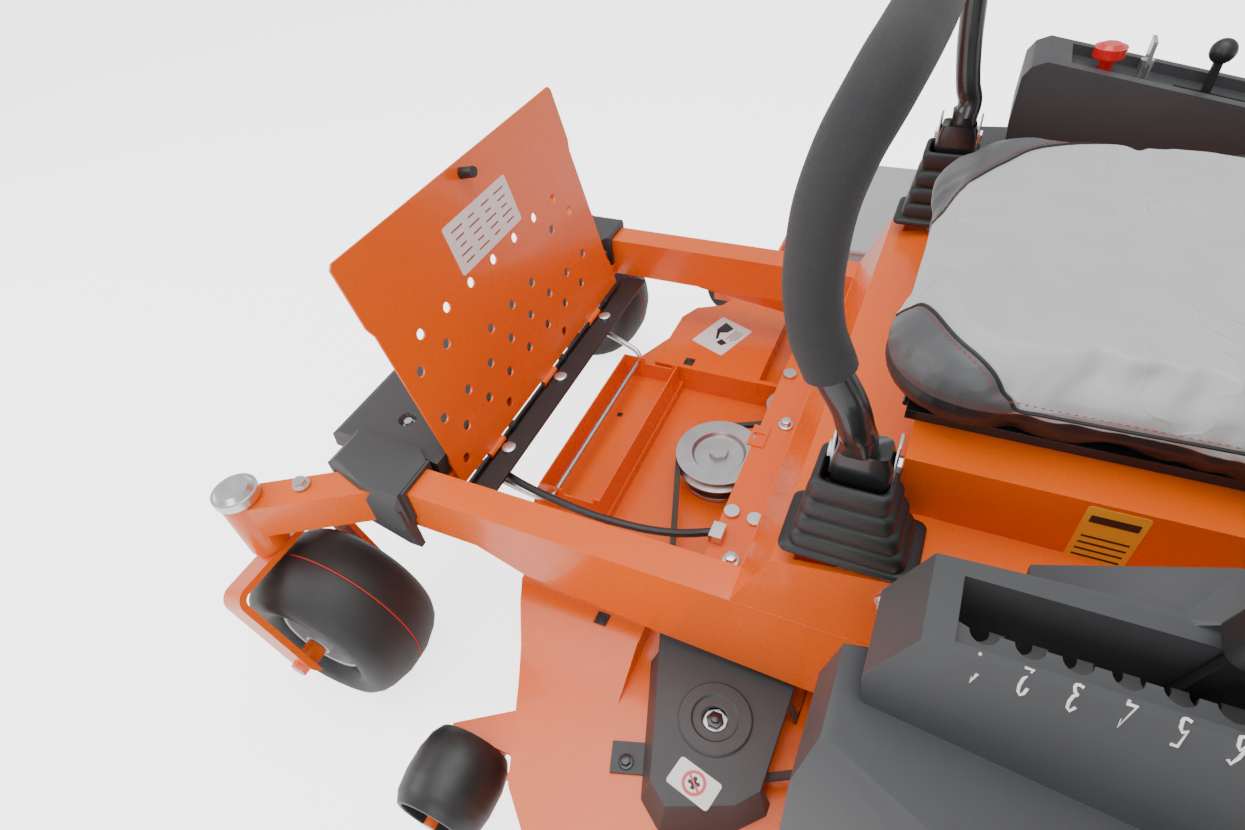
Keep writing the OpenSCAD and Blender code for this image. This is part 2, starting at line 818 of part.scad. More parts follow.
module raised_hollow(x0) {
    rotate([90, 0, 0])
        translate([0, 0, 708])
            linear_extrude(190)
                polygon([[x0 + 4, 100], [x0 + 4, deck_top - 4], [358, deck_top - 4],
                    [424, low_top - 5], [424, 100]]);
}

module deck_shell() color(orange) place() {
    spindles = [[spindle_x, -spindle_y], [0, -centre_y], [-spindle_x, -spindle_y]];
    difference() {
        union() {
            deck_plate(deck_bottom, low_top - deck_bottom, 0);
            intersection() {
                union() {
                    raised_corner(284);
                    mirror([1, 0, 0]) raised_corner(180);
                }
                deck_plate(low_top - 8, 60, 3);
            }
        }
        difference() {
            deck_plate(deck_bottom - 1, low_top - deck_bottom - 3, 5);
            translate([-190, -854, well_floor - 4]) cube([480, 410, 30]);
        }
        translate([-180, -846, well_floor]) cube([464, 384, 60]);
        intersection() {
            union() {
                raised_hollow(284);
                mirror([1, 0, 0]) raised_hollow(180);
            }
            deck_plate(deck_bottom - 1, 140, 7);
        }
        for (p = spindles)
            translate([p[0], p[1], 90]) cylinder(h = 160, r = 44, $fn = 64);
        translate([-700, -770, deck_bottom - 1]) cube([90, 370, 84]);
    }
    translate([-190, -706, low_top - 5]) cube([9, 42, deck_top - low_top + 5]);
    translate([idler_at[0], idler_at[1], well_floor - 2]) cylinder(h = 64, r = 8, $fn = 48);
    for (s = [1, -1]) side(s) {
        roller_bracket();
        translate([274, -486, well_floor - 3]) cube([8, 34, 170]);
    }
    for (y = [-788, -398])
        translate([-672, y, low_top - 12]) cube([122, 6, 44]);
    translate([chute_x, -590, chute_z]) rotate([90, 0, 0])
        cylinder(h = 400, r = 4, center = true, $fn = 32);
}

// Open tray on the deck front, whose ears carry the lift rod
module deck_tray() color(orange) place() {
    difference() {
        translate([-168, -958, low_top + 0.3]) cube([336, 108, 48.7]);
        translate([-165, -955, low_top + 3.3]) cube([330, 102, 60]);
        for (s = [1, -1]) translate([s * 166, -889, 240]) cube([10, 54, 24], center = true);
        translate([0, -930, 228]) axle(5 + running, 400);
    }
}

roller_y = 873;
roller_z = 142;

module roller_bracket() {
    translate([0, 0, 160]) linear_extrude(5)
        polygon([[470, -822], [545, -788], [566, -780], [560, -803], [532, -807], [532, -906],
            [525, -906]]);
    translate([525, -906, 128]) cube([7, 74, 36]);
    translate([585, -roller_y, roller_z]) axle(8, 114);
}

// Hollow barrel rollers that keep the deck off high ground
module scalp_rollers() color(black) place() {
    for (s = [1, -1]) side(s)
        translate([533, -roller_y, roller_z])
            rotate([0, 90, 0])
                rotate_extrude($fn = 64)
                    polygon([[8 + running, 0], [50, 0], [58, 14], [62, 36], [62, 66],
                        [58, 90], [50, 104], [44, 104], [44, 24], [20, 24], [20, 96],
                        [8 + running, 96]]);
}

cover_foot = [[318, -700], [523, -631], [547, -598], [512, -518], [484, -491], [318, -484]];
cover_crown = [[326, -682], [513, -620], [531, -594], [501, -524], [476, -502], [326, -498]];

// Folded cover over an outer spindle pulley
module spindle_covers() color(dark) place() {
    for (s = [1, -1]) side(s)
        difference() {
            hull() {
                translate([0, 0, low_top + 0.5]) linear_extrude(2) polygon(cover_foot);
                translate([0, 0, low_top + 44]) linear_extrude(2) polygon(cover_crown);
            }
            hull() {
                translate([0, 0, low_top - 1]) linear_extrude(2)
                    polygon([for (p = cover_foot) pulled(p)]);
                translate([0, 0, low_top + 41]) linear_extrude(2)
                    polygon([for (p = cover_crown) pulled(p)]);
            }
            translate([spindle_x, -spindle_y, 225]) cylinder(h = 40, r = 15, $fn = 48);
            translate([300, -702, low_top - 2]) cube([60, 216, 43]);
            translate([370, -520, low_top - 2]) cube([100, 60, 43]);
        }
    for (s = [1, -1]) side(s) {
        translate([474, -690, low_top + 0.5]) rotate([0, 0, 18]) cube([38, 47, 3]);
    }
}

// A point moved a little towards the middle of the cover
function pulled(p) =
    let (c = [430, -590], d = p - c)
    c + d * (1 - 4 / norm(d));

module spindle_housings() color("gray") place() {
    for (p = [[spindle_x, -spindle_y, low_top], [0, -centre_y, well_floor],
        [-spindle_x, -spindle_y, low_top]])
        translate([p[0], p[1], 0]) difference() {
            union() {
                translate([0, 0, 136]) cylinder(h = 66, r = 40, $fn = 64);
                translate([0, 0, p[2] + 0.5]) cylinder(h = 8, r = 62, $fn = 64);
            }
            translate([0, 0, 130]) cylinder(h = 90, r = 12.7 + running, $fn = 64);
        }
}

// Shaft, pulley and blade that turn together
module spindle_at(x, y, a) {
    translate([x, y, 0]) {
        translate([0, 0, blade_z - 14]) cylinder(h = 130, r = 12.7, $fn = 64);
        translate([0, 0, pulley_z]) rotate_extrude($fn = 64)
            polygon([[10, 0], [pulley_r, 0], [pulley_r, 2], [pulley_r - 9, 7],
                [pulley_r - 9, 15], [pulley_r, 20], [pulley_r, 22], [44, 22], [40, 16],
                [10, 16]]);
        translate([0, 0, pulley_z + 15]) cylinder(h = 9, r = 16, $fn = 6);
        translate([0, 0, blade_z - 12]) cylinder(h = 11, r = 16, $fn = 6);
        rotate([0, 0, a]) difference() {
            translate([-blade_r, -30, blade_z]) cube([2 * blade_r, 60, 5]);
            for (k = [0, 180]) rotate([0, 0, k])
                translate([blade_r - 60, 14, blade_z - 1]) rotate([0, 0, -6])
                    cube([80, 30, 7]);
        }
    }
}

module left_spindle() color(steel) place() spindle_at(spindle_x, -spindle_y, 60);
module centre_spindle() color(steel) place() spindle_at(0, -centre_y, 60);
module right_spindle() color(steel) place() spindle_at(-spindle_x, -spindle_y, 60);

// ---- belt ----

// Each pulley as [x, y, radius], the radius negative where the belt's back runs on it
belt_r = pulley_r - 8.6;
idler_at = [-142, -640];
idler_r = 28;
belt_pulleys = [[0, 190, belt_r], [-spindle_x, -spindle_y, belt_r],
    [idler_at[0], idler_at[1], -idler_r - belt_t - 0.3], [0, -centre_y, belt_r],
    [spindle_x, -spindle_y, belt_r]];

// Angle of the normal of the straight stretch from pulley a to pulley b
function normal_angle(a, b) =
    let (d = [b[0] - a[0], b[1] - a[1]])
    atan2(d[1], d[0]) - acos((a[2] - b[2]) / norm(d));

function turn(a) = a < 0 ? a + 360 : a;

// Outline of the belt at a distance outside its pitch line
function belt_outline(p, off) = [
    for (i = [0 : len(p) - 1])
        let (n = len(p), q = p[i],
            a0 = normal_angle(p[(i + n - 1) % n], q), a1 = normal_angle(q, p[(i + 1) % n]),
            sweep = q[2] > 0 ? turn((a1 - a0) % 360) : turn((a1 - a0) % 360) - 360)
        for (k = [0 : 12])
            let (a = a0 + sweep * k / 12)
            [q[0] + (q[2] + off) * cos(a), q[1] + (q[2] + off) * sin(a)]];

module deck_belt() color("#4a3c34") place() {
    translate([0, 0, pulley_z + 7.5]) linear_extrude(7) difference() {
        polygon(belt_outline(belt_pulleys, belt_t));
        polygon(belt_outline(belt_pulleys, 0.3));
    }
}

module belt_idler() color(steel) place() translate([idler_at[0], idler_at[1], 0]) {
    difference() {
        union() {
            translate([0, 0, pulley_z + 2]) cylinder(h = 18, r = idler_r, $fn = 64);
            translate([0, 0, pulley_z]) cylinder(h = 3, r = idler_r + 7, $fn = 64);
            translate([0, 0, pulley_z + 19]) cylinder(h = 3, r = idler_r + 7, $fn = 64);
        }
        translate([0, 0, 190]) cylinder(h = 60, r = 8 + running, $fn = 48);
    }
}

module engine_pulley() color(steel) place() translate([0, 190, 0]) {
    translate([0, 0, pulley_z]) rotate_extrude($fn = 64)
        polygon([[0, 0], [pulley_r, 0], [pulley_r, 2], [pulley_r - 9, 7],
            [pulley_r - 9, 15], [pulley_r, 20], [pulley_r, 22], [0, 22]]);
    translate([0, 0, pulley_z + 21]) cylinder(h = 50, r = 55, $fn = 64);
    translate([0, 0, pulley_z + 60]) cylinder(h = 132, r = 14, $fn = 64);
}

// Rod that ties the deck front to the chassis
module front_link() color(steel) place() {
    translate([0, -930, 228]) axle(5, 354);
    for (s = [1, -1]) side(s)
        swept_tube([[170, -930, 228], [178, -932, 229], [186, -940, 232], [191, -955, 238],
            [194, -1005, 257], [194, -1062, 276], [191, -1078, 281], [182, -1087, 284],
            [170, -1089, 285], [158, -1089, 285]], 5, 12, 2);
}

// ---- deck lift ----

module height_lever() color(black) place() {
    difference() {
        translate([424, -lift_y, lift_z]) rotate([-11.5, 0, 0]) {
            translate([-4, -7, -14]) cube([8, 14, 394]);
            axle(18, 8);
            translate([0, 0, 380]) linear_extrude(130) round_rect(34, 40, 10);
        }
        translate([424, -lift_y, lift_z]) axle(9, 60);
    }
}

module lift_shaft() color(dark) place() {
    translate([50, -lift_y, lift_z]) axle(8.9, 820);
    for (s = [1, -1]) side(s)
        translate([289, -lift_y, lift_z]) rotate([75, 0, 0])
            translate([-5, -14, 0]) cube([10, 28, 190]);
}

// ---- side discharge ----

// Moulded deflector, hinged along the right edge of the deck
module discharge_chute() color("gray") place()
    translate([chute_x, -590, chute_z]) rotate([0, 8, 0]) difference() {
        union() {
            rotate([90, 0, 0]) linear_extrude(380, center = true)
                polygon([[0, 6], [-300, 6], [-320, -2], [-320, -30], [-120, -60], [-24, -60],
                    [-12, -6]]);
            rotate([90, 0, 0]) cylinder(h = 380, r = 9, center = true, $fn = 32);
        }
        translate([-314, -184, -84]) cube([290, 368, 84]);
        rotate([90, 0, 0]) cylinder(h = 400, r = 4 + running, center = true, $fn = 32);
    }

// ---- controls on the right console ----

module blade_switch() color("red") place() translate([-425, -313, 0]) {
    translate([0, 0, 676]) cylinder(h = 34, r = 9, $fn = 48);
    translate([0, 0, 709]) cylinder(h = 6, r = 13, $fn = 48);
    translate([0, 0, 714]) cylinder(h = 12, r = 20, $fn = 48);
    translate([0, 0, 725]) cylinder(h = 5, r1 = 19, r2 = 11, $fn = 48);
}

module ignition_key() color(black) place() translate([-425, -267, 0]) {
    translate([0, 0, 676]) cylinder(h = 36, r = 8, $fn = 48);
    translate([-14, -2.5, 711]) cube([28, 5, 26]);
}

module throttle_lever() color(black) place() translate([-429, -189, 606]) {
    difference() {
        union() {
            axle(12, 8);
            translate([-4, -5, 0]) cube([8, 10, 112]);
        }
        axle(5 + running, 30);
    }
    translate([0, 0, 118]) sphere(r = 15, $fn = 32);
}

left_rail();
right_rail();
cross_members();
seat_box();
rear_frame();
footrest();
hinge_strip();
left_console();
right_console();
left_boot();
right_boot();
battery();
fuel_tank();
fuel_cap();
engine_block();
engine_shroud();
muffler();
transaxles();
deck_tray();
wiring_loom();
frame_bolts();
barrel_caps();
left_fork();
right_fork();
left_caster_rim();
right_caster_rim();
left_caster_tyre();
right_caster_tyre();
left_drive_rim();
right_drive_rim();
left_drive_tyre();
right_drive_tyre();
left_pivot();
right_pivot();
left_lever();
right_lever();
left_grip();
right_grip();
floor_pan();
pan_latch();
seat_pan();
seat_cushion();
seat_back();
deck_shell();
spindle_covers();
spindle_housings();
deck_belt();
front_link();
height_lever();
lift_shaft();
left_spindle();
centre_spindle();
right_spindle();
belt_idler();
discharge_chute();
scalp_rollers();
blade_switch();
ignition_key();
throttle_lever();
engine_pulley();
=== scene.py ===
# %% [markdown]
# # A zero turn mower, dressed over its CAD frame
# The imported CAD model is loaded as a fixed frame, so every new piece is placed where the CAD says.
# Lengths are easier to think about in millimetres from the middle of the rear axle, on the ground.
# The tyre boxes give that point, so a small helper turns those millimetres into scene metres.

# %% Load the frame
import json
import math
import bmesh
import bpy
from mathutils.bvhtree import BVHTree
from mathutils import Matrix, Vector


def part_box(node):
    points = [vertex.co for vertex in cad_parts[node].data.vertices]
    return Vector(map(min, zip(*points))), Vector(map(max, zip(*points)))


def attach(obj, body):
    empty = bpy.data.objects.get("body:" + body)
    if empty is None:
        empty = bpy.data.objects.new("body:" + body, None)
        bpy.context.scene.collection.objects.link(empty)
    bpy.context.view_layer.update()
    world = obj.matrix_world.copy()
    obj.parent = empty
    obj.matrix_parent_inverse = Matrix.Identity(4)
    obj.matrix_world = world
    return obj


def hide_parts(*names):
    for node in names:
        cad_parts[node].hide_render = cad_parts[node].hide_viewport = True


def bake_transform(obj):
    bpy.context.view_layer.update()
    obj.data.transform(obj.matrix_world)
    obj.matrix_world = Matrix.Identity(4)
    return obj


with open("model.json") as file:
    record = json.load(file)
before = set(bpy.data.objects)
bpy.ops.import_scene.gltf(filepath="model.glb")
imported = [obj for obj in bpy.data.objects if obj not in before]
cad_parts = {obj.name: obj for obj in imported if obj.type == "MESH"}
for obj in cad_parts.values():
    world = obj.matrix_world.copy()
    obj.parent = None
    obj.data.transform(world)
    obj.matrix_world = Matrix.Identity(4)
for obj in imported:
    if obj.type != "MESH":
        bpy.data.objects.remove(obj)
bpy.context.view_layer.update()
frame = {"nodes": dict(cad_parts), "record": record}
boxes = [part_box(n) for n in ("left_drive_tyre", "right_drive_tyre")]
MID_X = sum(b[i][0] for b in boxes for i in (0, 1)) / 4
AXLE_Y = (boxes[0][0][1] + boxes[0][1][1]) / 2


def at(x, y, z):
    """A point in millimetres from the rear axle's middle, as scene metres."""
    return Vector((MID_X + x / 1000, AXLE_Y + y / 1000, z / 1000))


print("rear axle at", [round(v, 4) for v in at(0, 0, 0)])

# %% [markdown]
# ## Camera
# A wide lens close to the machine gives the strong perspective: the near console is large and the
# far caster is small. The camera is level with a standing person's chest and looks down and forward.
# A camera's place and turn are plain numbers here, because it is not part of the machine.

# %% Camera
camera_data = bpy.data.cameras.new("camera")
camera_data.sensor_width = 36
camera_data.lens = 21.08
camera_data.clip_start = 0.01
camera = bpy.data.objects.new("camera", camera_data)
camera.location = at(762.9, -445.7, 1116.6)
camera.rotation_euler = [math.radians(a) for a in (45.430, 5.658, 114.345)]
bpy.context.scene.collection.objects.link(camera)
bpy.context.scene.camera = camera
print("camera at", [round(v, 3) for v in camera.location])

# %% [markdown]
# ## Floor and light
# A studio shot on white: one wide floor that glows a little, a bright even world, and soft lamps.
# A large area lamp throws soft shadows, and its reflection draws the long highlights on gloss paint.

# %% Floor, world and lamps
def plain_floor():
    mesh = bpy.data.meshes.new("floor")
    bm = bmesh.new()
    bmesh.ops.create_grid(bm, x_segments=1, y_segments=1, size=14)
    bm.to_mesh(mesh)
    bm.free()
    floor = bpy.data.objects.new("floor", mesh)
    bpy.context.scene.collection.objects.link(floor)
    paper = bpy.data.materials.new("paper")
    paper.use_nodes = True
    shader = paper.node_tree.nodes["Principled BSDF"]
    shader.inputs["Base Color"].default_value = (0.97, 0.97, 0.97, 1)
    shader.inputs["Roughness"].default_value = 0.75
    shader.inputs["Emission Color"].default_value = (1, 1, 1, 1)
    path = paper.node_tree.nodes.new("ShaderNodeLightPath")
    glow = paper.node_tree.nodes.new("ShaderNodeMapRange")
    glow.inputs["To Min"].default_value = 0.5
    glow.inputs["To Max"].default_value = 2.4
    paper.node_tree.links.new(path.outputs["Is Camera Ray"], glow.inputs["Value"])
    paper.node_tree.links.new(glow.outputs["Result"], shader.inputs["Emission Strength"])
    mesh.materials.append(paper)
    return floor


def lamp(name, place, aim, size, power):
    data = bpy.data.lights.new(name, "AREA")
    data.shape = "RECTANGLE"
    data.size, data.size_y = size
    data.energy = power
    lamp_object = bpy.data.objects.new(name, data)
    lamp_object.location = place
    lamp_object.rotation_euler = (aim - place).to_track_quat("-Z", "Y").to_euler()
    bpy.context.scene.collection.objects.link(lamp_object)
    return lamp_object


plain_floor()
world = bpy.data.worlds.new("studio")
bpy.context.scene.world = world
world.use_nodes = True
world.node_tree.nodes["Background"].inputs[0].default_value = (1, 1, 1, 1)
world.node_tree.nodes["Background"].inputs[1].default_value = 0.8
lamp("overhead", at(200, -700, 3600), at(0, -500, 300), (3.2, 2.6), 95)
lamp("front_fill", at(1200, -3600, 1900), at(0, -700, 300), (2.2, 1.6), 45)
lamp("side_fill", at(3600, -200, 1900), at(200, -500, 300), (2.2, 1.6), 40)
print("three lamps and a floor")

# %% [markdown]
# ## Finishes
# Every finish is a Principled shader with the same three helpers: a slow noise that shifts the colour
# a little, a fine noise that roughens the surface, and a bump from a grain at the finish's real scale.
# The patterns read Object coordinates, so they stay put on a piece that sits at the origin.
# Numbers that are the same all over, such as coat or sheen, are set straight on the shader's sockets.

# %% A finish from a shader and three noises
def finish(name, colour, rough, grain=900.0, bump=0.1, depth=0.0003, mottle=0.06, metal=0.0,
           coat=0.0, sheen=0.0, rough_shift=0.06, specular=0.5):
    material = bpy.data.materials.new(name)
    material.use_nodes = True
    tree = material.node_tree
    shader = tree.nodes["Principled BSDF"]
    shader.inputs["Metallic"].default_value = metal
    shader.inputs["Coat Weight"].default_value = coat
    shader.inputs["Coat Roughness"].default_value = 0.06
    shader.inputs["Sheen Weight"].default_value = sheen
    shader.inputs["Specular IOR Level"].default_value = specular
    place = tree.nodes.new("ShaderNodeTexCoord")
    slow = tree.nodes.new("ShaderNodeTexNoise")
    slow.inputs["Scale"].default_value = 9.0
    slow.inputs["Detail"].default_value = 4.0
    tint = tree.nodes.new("ShaderNodeValToRGB")
    low = [c * (1 - mottle) for c in colour]
    high = [min(1.0, c * (1 + mottle)) for c in colour]
    tint.color_ramp.elements[0].position = 0.3
    tint.color_ramp.elements[0].color = (*low, 1)
    tint.color_ramp.elements[1].position = 0.7
    tint.color_ramp.elements[1].color = (*high, 1)
    fine = tree.nodes.new("ShaderNodeTexNoise")
    fine.inputs["Scale"].default_value = 60.0
    span = tree.nodes.new("ShaderNodeMapRange")
    span.inputs["To Min"].default_value = max(0.02, rough - rough_shift)
    span.inputs["To Max"].default_value = min(1.0, rough + rough_shift)
    grit = tree.nodes.new("ShaderNodeTexNoise")
    grit.inputs["Scale"].default_value = grain
    grit.inputs["Detail"].default_value = 3.0
    lift = tree.nodes.new("ShaderNodeBump")
    lift.inputs["Strength"].default_value = bump
    lift.inputs["Distance"].default_value = depth
    for noise in (slow, fine, grit):
        tree.links.new(place.outputs["Object"], noise.inputs["Vector"])
    tree.links.new(slow.outputs["Fac"], tint.inputs["Fac"])
    tree.links.new(tint.outputs["Color"], shader.inputs["Base Color"])
    tree.links.new(fine.outputs["Fac"], span.inputs["Value"])
    tree.links.new(span.outputs["Result"], shader.inputs["Roughness"])
    tree.links.new(grit.outputs["Fac"], lift.inputs["Height"])
    tree.links.new(lift.outputs["Normal"], shader.inputs["Normal"])
    return material


# %% [markdown]
# Powder coat has a faint orange-peel ripple under a clear gloss. Moulded plastic has a fine etched
# grain and is dull. Rubber is darker and duller still. Zinc and machined steel are metals with a
# soft mottled roughness. Each gets its own numbers, kept together so they are easy to compare.

# %% All the finishes
FINISH = {
    "orange_paint": finish("orange_paint", (0.80, 0.112, 0.001), 0.28, 260, 0.06, 0.0006, 0.01,
                           coat=0.25, rough_shift=0.04),
    "black_paint": finish("black_paint", (0.012, 0.012, 0.013), 0.26, 420, 0.08, 0.0004, 0.1,
                          coat=0.3),
    "grey_plastic": finish("grey_plastic", (0.046, 0.047, 0.050), 0.50, 1500, 0.35, 0.0003, 0.05),
    "black_plastic": finish("black_plastic", (0.016, 0.016, 0.017), 0.42, 1300, 0.25, 0.0003, 0.1),
    "black_rubber": finish("black_rubber", (0.013, 0.013, 0.014), 0.48, 700, 0.2, 0.0004, 0.15),
    "tyre": finish("tyre", (0.018, 0.018, 0.019), 0.55, 500, 0.35, 0.0006, 0.15),
    "rim_paint": finish("rim_paint", (0.42, 0.43, 0.44), 0.42, 420, 0.12, 0.0005, 0.05, metal=0.3),
    "zinc": finish("zinc", (0.66, 0.67, 0.68), 0.30, 600, 0.12, 0.0003, 0.08, metal=1.0,
                   rough_shift=0.1),
    "steel": finish("steel", (0.52, 0.52, 0.53), 0.36, 500, 0.15, 0.0003, 0.1, metal=1.0,
                    rough_shift=0.12),
    "grip_foam": finish("grip_foam", (0.016, 0.016, 0.018), 0.72, 1100, 0.9, 0.0008, 0.08,
                        sheen=0.08),
    "light_vinyl": finish("light_vinyl", (0.235, 0.24, 0.25), 0.52, 1400, 0.35, 0.0004, 0.03),
    "dark_vinyl": finish("dark_vinyl", (0.042, 0.043, 0.047), 0.46, 1400, 0.35, 0.0004, 0.06),
    "red_plastic": finish("red_plastic", (0.62, 0.012, 0.012), 0.24, 300, 0.05, 0.0002, 0.05,
                          coat=0.4),
    "belt_rubber": finish("belt_rubber", (0.05, 0.042, 0.035), 0.75, 900, 0.5, 0.0005, 0.2),
    "cast_alloy": finish("cast_alloy", (0.36, 0.36, 0.37), 0.5, 700, 0.5, 0.0006, 0.1, metal=0.8),
    "pale_plastic": finish("pale_plastic", (0.40, 0.41, 0.42), 0.5, 1200, 0.25, 0.0003, 0.04),
    "white_label": finish("white_label", (0.80, 0.80, 0.80), 0.35, 900, 0.05, 0.0002, 0.02),
    "yellow_label": finish("yellow_label", (0.86, 0.42, 0.03), 0.35, 900, 0.05, 0.0002, 0.03),
    "red_thread": finish("red_thread", (0.42, 0.03, 0.02), 0.7, 2000, 0.5, 0.0004, 0.1),
    "pink_label": finish("pink_label", (0.80, 0.74, 0.74), 0.4, 900, 0.05, 0.0002, 0.02),
    "brown_ink": finish("brown_ink", (0.30, 0.06, 0.03), 0.5, 900, 0.05, 0.0002, 0.05),
}
print(len(FINISH), "finishes")

# %% [markdown]
# ## The CAD parts that stay
# Sheet metal, castings and tubes already have their true shape. They get their finish, and three
# live modifiers: Weld joins the loose triangles, Decimate in planar mode merges flat faces into one,
# and Bevel rounds every sharp edge a little, so that the edges catch the light as real ones do.

# %% Dress every CAD node
slots = {s["node"]: s["material_slot"] for s in frame["record"]["subparts"]}
FLAT_JOIN = math.radians(1.0)


def soften(node, width, segments=2, angle=32.0):
    """Rounds a CAD node's edges by width millimetres, with live modifiers."""
    part = frame["nodes"][node]
    weld = part.modifiers.new("weld", "WELD")
    weld.merge_threshold = 0.00002
    flat = part.modifiers.new("flat", "DECIMATE")
    flat.decimate_type = "DISSOLVE"
    flat.angle_limit = FLAT_JOIN
    bevel = part.modifiers.new("round", "BEVEL")
    bevel.width = width / 1000
    bevel.segments = segments
    bevel.limit_method = "ANGLE"
    bevel.angle_limit = math.radians(angle)
    bevel.harden_normals = False
    normals = part.modifiers.new("normals", "WEIGHTED_NORMAL")
    normals.keep_sharp = False
    return part


for name, part in frame["nodes"].items():
    part.data.materials.clear()
    part.data.materials.append(FINISH[slots[name]])
print(len(frame["nodes"]), "CAD nodes dressed")

# %% [markdown]
# ## Helpers for new pieces
# Each new piece starts as a bmesh in millimetres from the rear axle. A few helpers add a box, a
# turned ring, a pipe along a route or a plate with round corners, always with bmesh operators.
# `add_piece` then scales the bmesh into metres, gives it a finish, and ties it to its CAD body.

# %% Shapes in millimetres
AXES = {"X": Matrix.Rotation(math.radians(90), 4, "Y"), "Y": Matrix.Rotation(math.radians(-90), 4, "X"),
        "Z": Matrix.Identity(4)}


def fresh(bm, before):
    """The vertices added since a set of them was taken."""
    return [v for v in bm.verts if v not in before]


def box(bm, low, high, bevel=0.0, segments=2):
    """A block between two corners, with its edges rounded."""
    size = [h - l for l, h in zip(low, high)]
    middle = [(l + h) / 2 for l, h in zip(low, high)]
    matrix = Matrix.Translation(middle) @ Matrix.Diagonal((*size, 1))
    verts = bmesh.ops.create_cube(bm, size=1, matrix=matrix)["verts"]
    if bevel:
        edges = list({e for v in verts for e in v.link_edges})
        made = bmesh.ops.bevel(bm, geom=edges, offset=bevel, offset_type="OFFSET", segments=segments,
                               profile=0.5, affect="EDGES", material=-1)
        verts = made["verts"]
    return list(verts)


def drum(bm, centre, radius, length, axis="Z", top=None, steps=40, bevel=0.0):
    """A cylinder or cone frustum with its two rims rounded."""
    matrix = Matrix.Translation(centre) @ AXES[axis]
    made = bmesh.ops.create_cone(bm, cap_ends=True, segments=steps, radius1=radius,
                                 radius2=radius if top is None else top, depth=length, matrix=matrix)
    verts = made["verts"]
    if bevel:
        rims = [e for e in {e for v in verts for e in v.link_edges}
                if any(len(f.verts) > 4 for f in e.link_faces)]
        made = bmesh.ops.bevel(bm, geom=rims, offset=bevel, offset_type="OFFSET", segments=2,
                               profile=0.5, affect="EDGES", material=-1)
        verts = list(made["verts"])
    return verts


def turned(bm, profile, centre, axis="Z", steps=64):
    """A profile of (radius, height) points, turned once round the axis."""
    matrix = Matrix.Translation(centre) @ AXES[axis]
    verts = [bm.verts.new((r, 0, h)) for r, h in profile]
    edges = [bm.edges.new(pair) for pair in zip(verts, verts[1:])]
    if profile[0] != profile[-1] and profile[0][0] > 0.01 and profile[-1][0] > 0.01:
        edges.append(bm.edges.new((verts[-1], verts[0])))
    made = bmesh.ops.spin(bm, geom=verts + edges, cent=(0, 0, 0), axis=(0, 0, 1), dvec=(0, 0, 0),
                          angle=math.tau, steps=steps, use_merge=True, use_duplicate=False)
    ring = list({v for e in edges if e.is_valid for v in e.verts})
    seen, queue = set(ring), list(ring)
    while queue:
        for edge in queue.pop().link_edges:
            for v in edge.verts:
                if v not in seen:
                    seen.add(v)
                    queue.append(v)
    bmesh.ops.remove_doubles(bm, verts=list(seen), dist=0.01)
    alive = [v for v in seen if v.is_valid]
    faces = list({f for v in alive for f in v.link_faces})
    bmesh.ops.recalc_face_normals(bm, faces=faces)
    bmesh.ops.transform(bm, matrix=matrix, verts=alive)
    return alive


def pipe(bm, points, radius, sides=4, steps=8, closed=False, smooth=True):
    """A round pipe along a smooth route, with closed ends. sides is a quarter of its sides."""
    data = bpy.data.curves.new("route", "CURVE")
    data.dimensions = "3D"
    data.resolution_u = steps
    data.bevel_depth = radius
    data.bevel_resolution = sides
    data.use_fill_caps = not closed
    spline = data.splines.new("BEZIER" if smooth else "POLY")
    target = spline.bezier_points if smooth else spline.points
    target.add(len(points) - 1)
    for point, place in zip(target, points):
        point.co = place if smooth else (*place, 1)
        if smooth:
            point.handle_left_type = point.handle_right_type = "AUTO"
    spline.use_cyclic_u = closed
    holder = bpy.data.objects.new("route", data)
    bpy.context.scene.collection.objects.link(holder)
    bpy.context.view_layer.update()
    mesh = bpy.data.meshes.new_from_object(holder.evaluated_get(bpy.context.evaluated_depsgraph_get()))
    before = set(bm.verts)
    bm.from_mesh(mesh)
    bmesh.ops.remove_doubles(bm, verts=fresh(bm, before), dist=0.01)
    bpy.data.objects.remove(holder)
    bpy.data.meshes.remove(mesh)
    return fresh(bm, before)


def plate(bm, outline, z, thick, bevel=0.0, segments=2):
    """A flat outline of (x, y) points given a thickness upwards, edges rounded."""
    verts = [bm.verts.new((x, y, z)) for x, y in outline]
    face = bm.faces.new(verts)
    face.normal_update()
    if face.normal.z > 0:
        face.normal_flip()
    made = bmesh.ops.extrude_face_region(bm, geom=[face], use_keep_orig=True)
    top = [g for g in made["geom"] if isinstance(g, bmesh.types.BMVert)]
    bmesh.ops.translate(bm, vec=(0, 0, thick), verts=top)
    every = verts + top
    if bevel:
        edges = [e for e in {e for v in every for e in v.link_edges}]
        made = bmesh.ops.bevel(bm, geom=edges, offset=bevel, offset_type="OFFSET", segments=segments,
                               profile=0.5, affect="EDGES", material=-1, clamp_overlap=True)
        return list(made["verts"])
    return every


def hex_bolt(bm, centre, size, normal=(0, 0, 1), washer=True):
    """A flanged hexagon head standing on a surface."""
    turn = Vector((0, 0, 1)).rotation_difference(Vector(normal)).to_matrix().to_4x4()
    before = set(bm.verts)
    if washer:
        drum(bm, (0, 0, size * 0.12), size * 0.78, size * 0.24, steps=28, bevel=size * 0.06)
    drum(bm, (0, 0, size * 0.5), size * 0.56, size * 0.56, steps=6, bevel=size * 0.05)
    bmesh.ops.transform(bm, matrix=Matrix.Translation(centre) @ turn, verts=fresh(bm, before))


# %% [markdown]
# The last helper writes the mesh. Faces are shaded smooth, and edges sharper than an angle stay
# crisp, which is what "auto smooth" does in the editor.

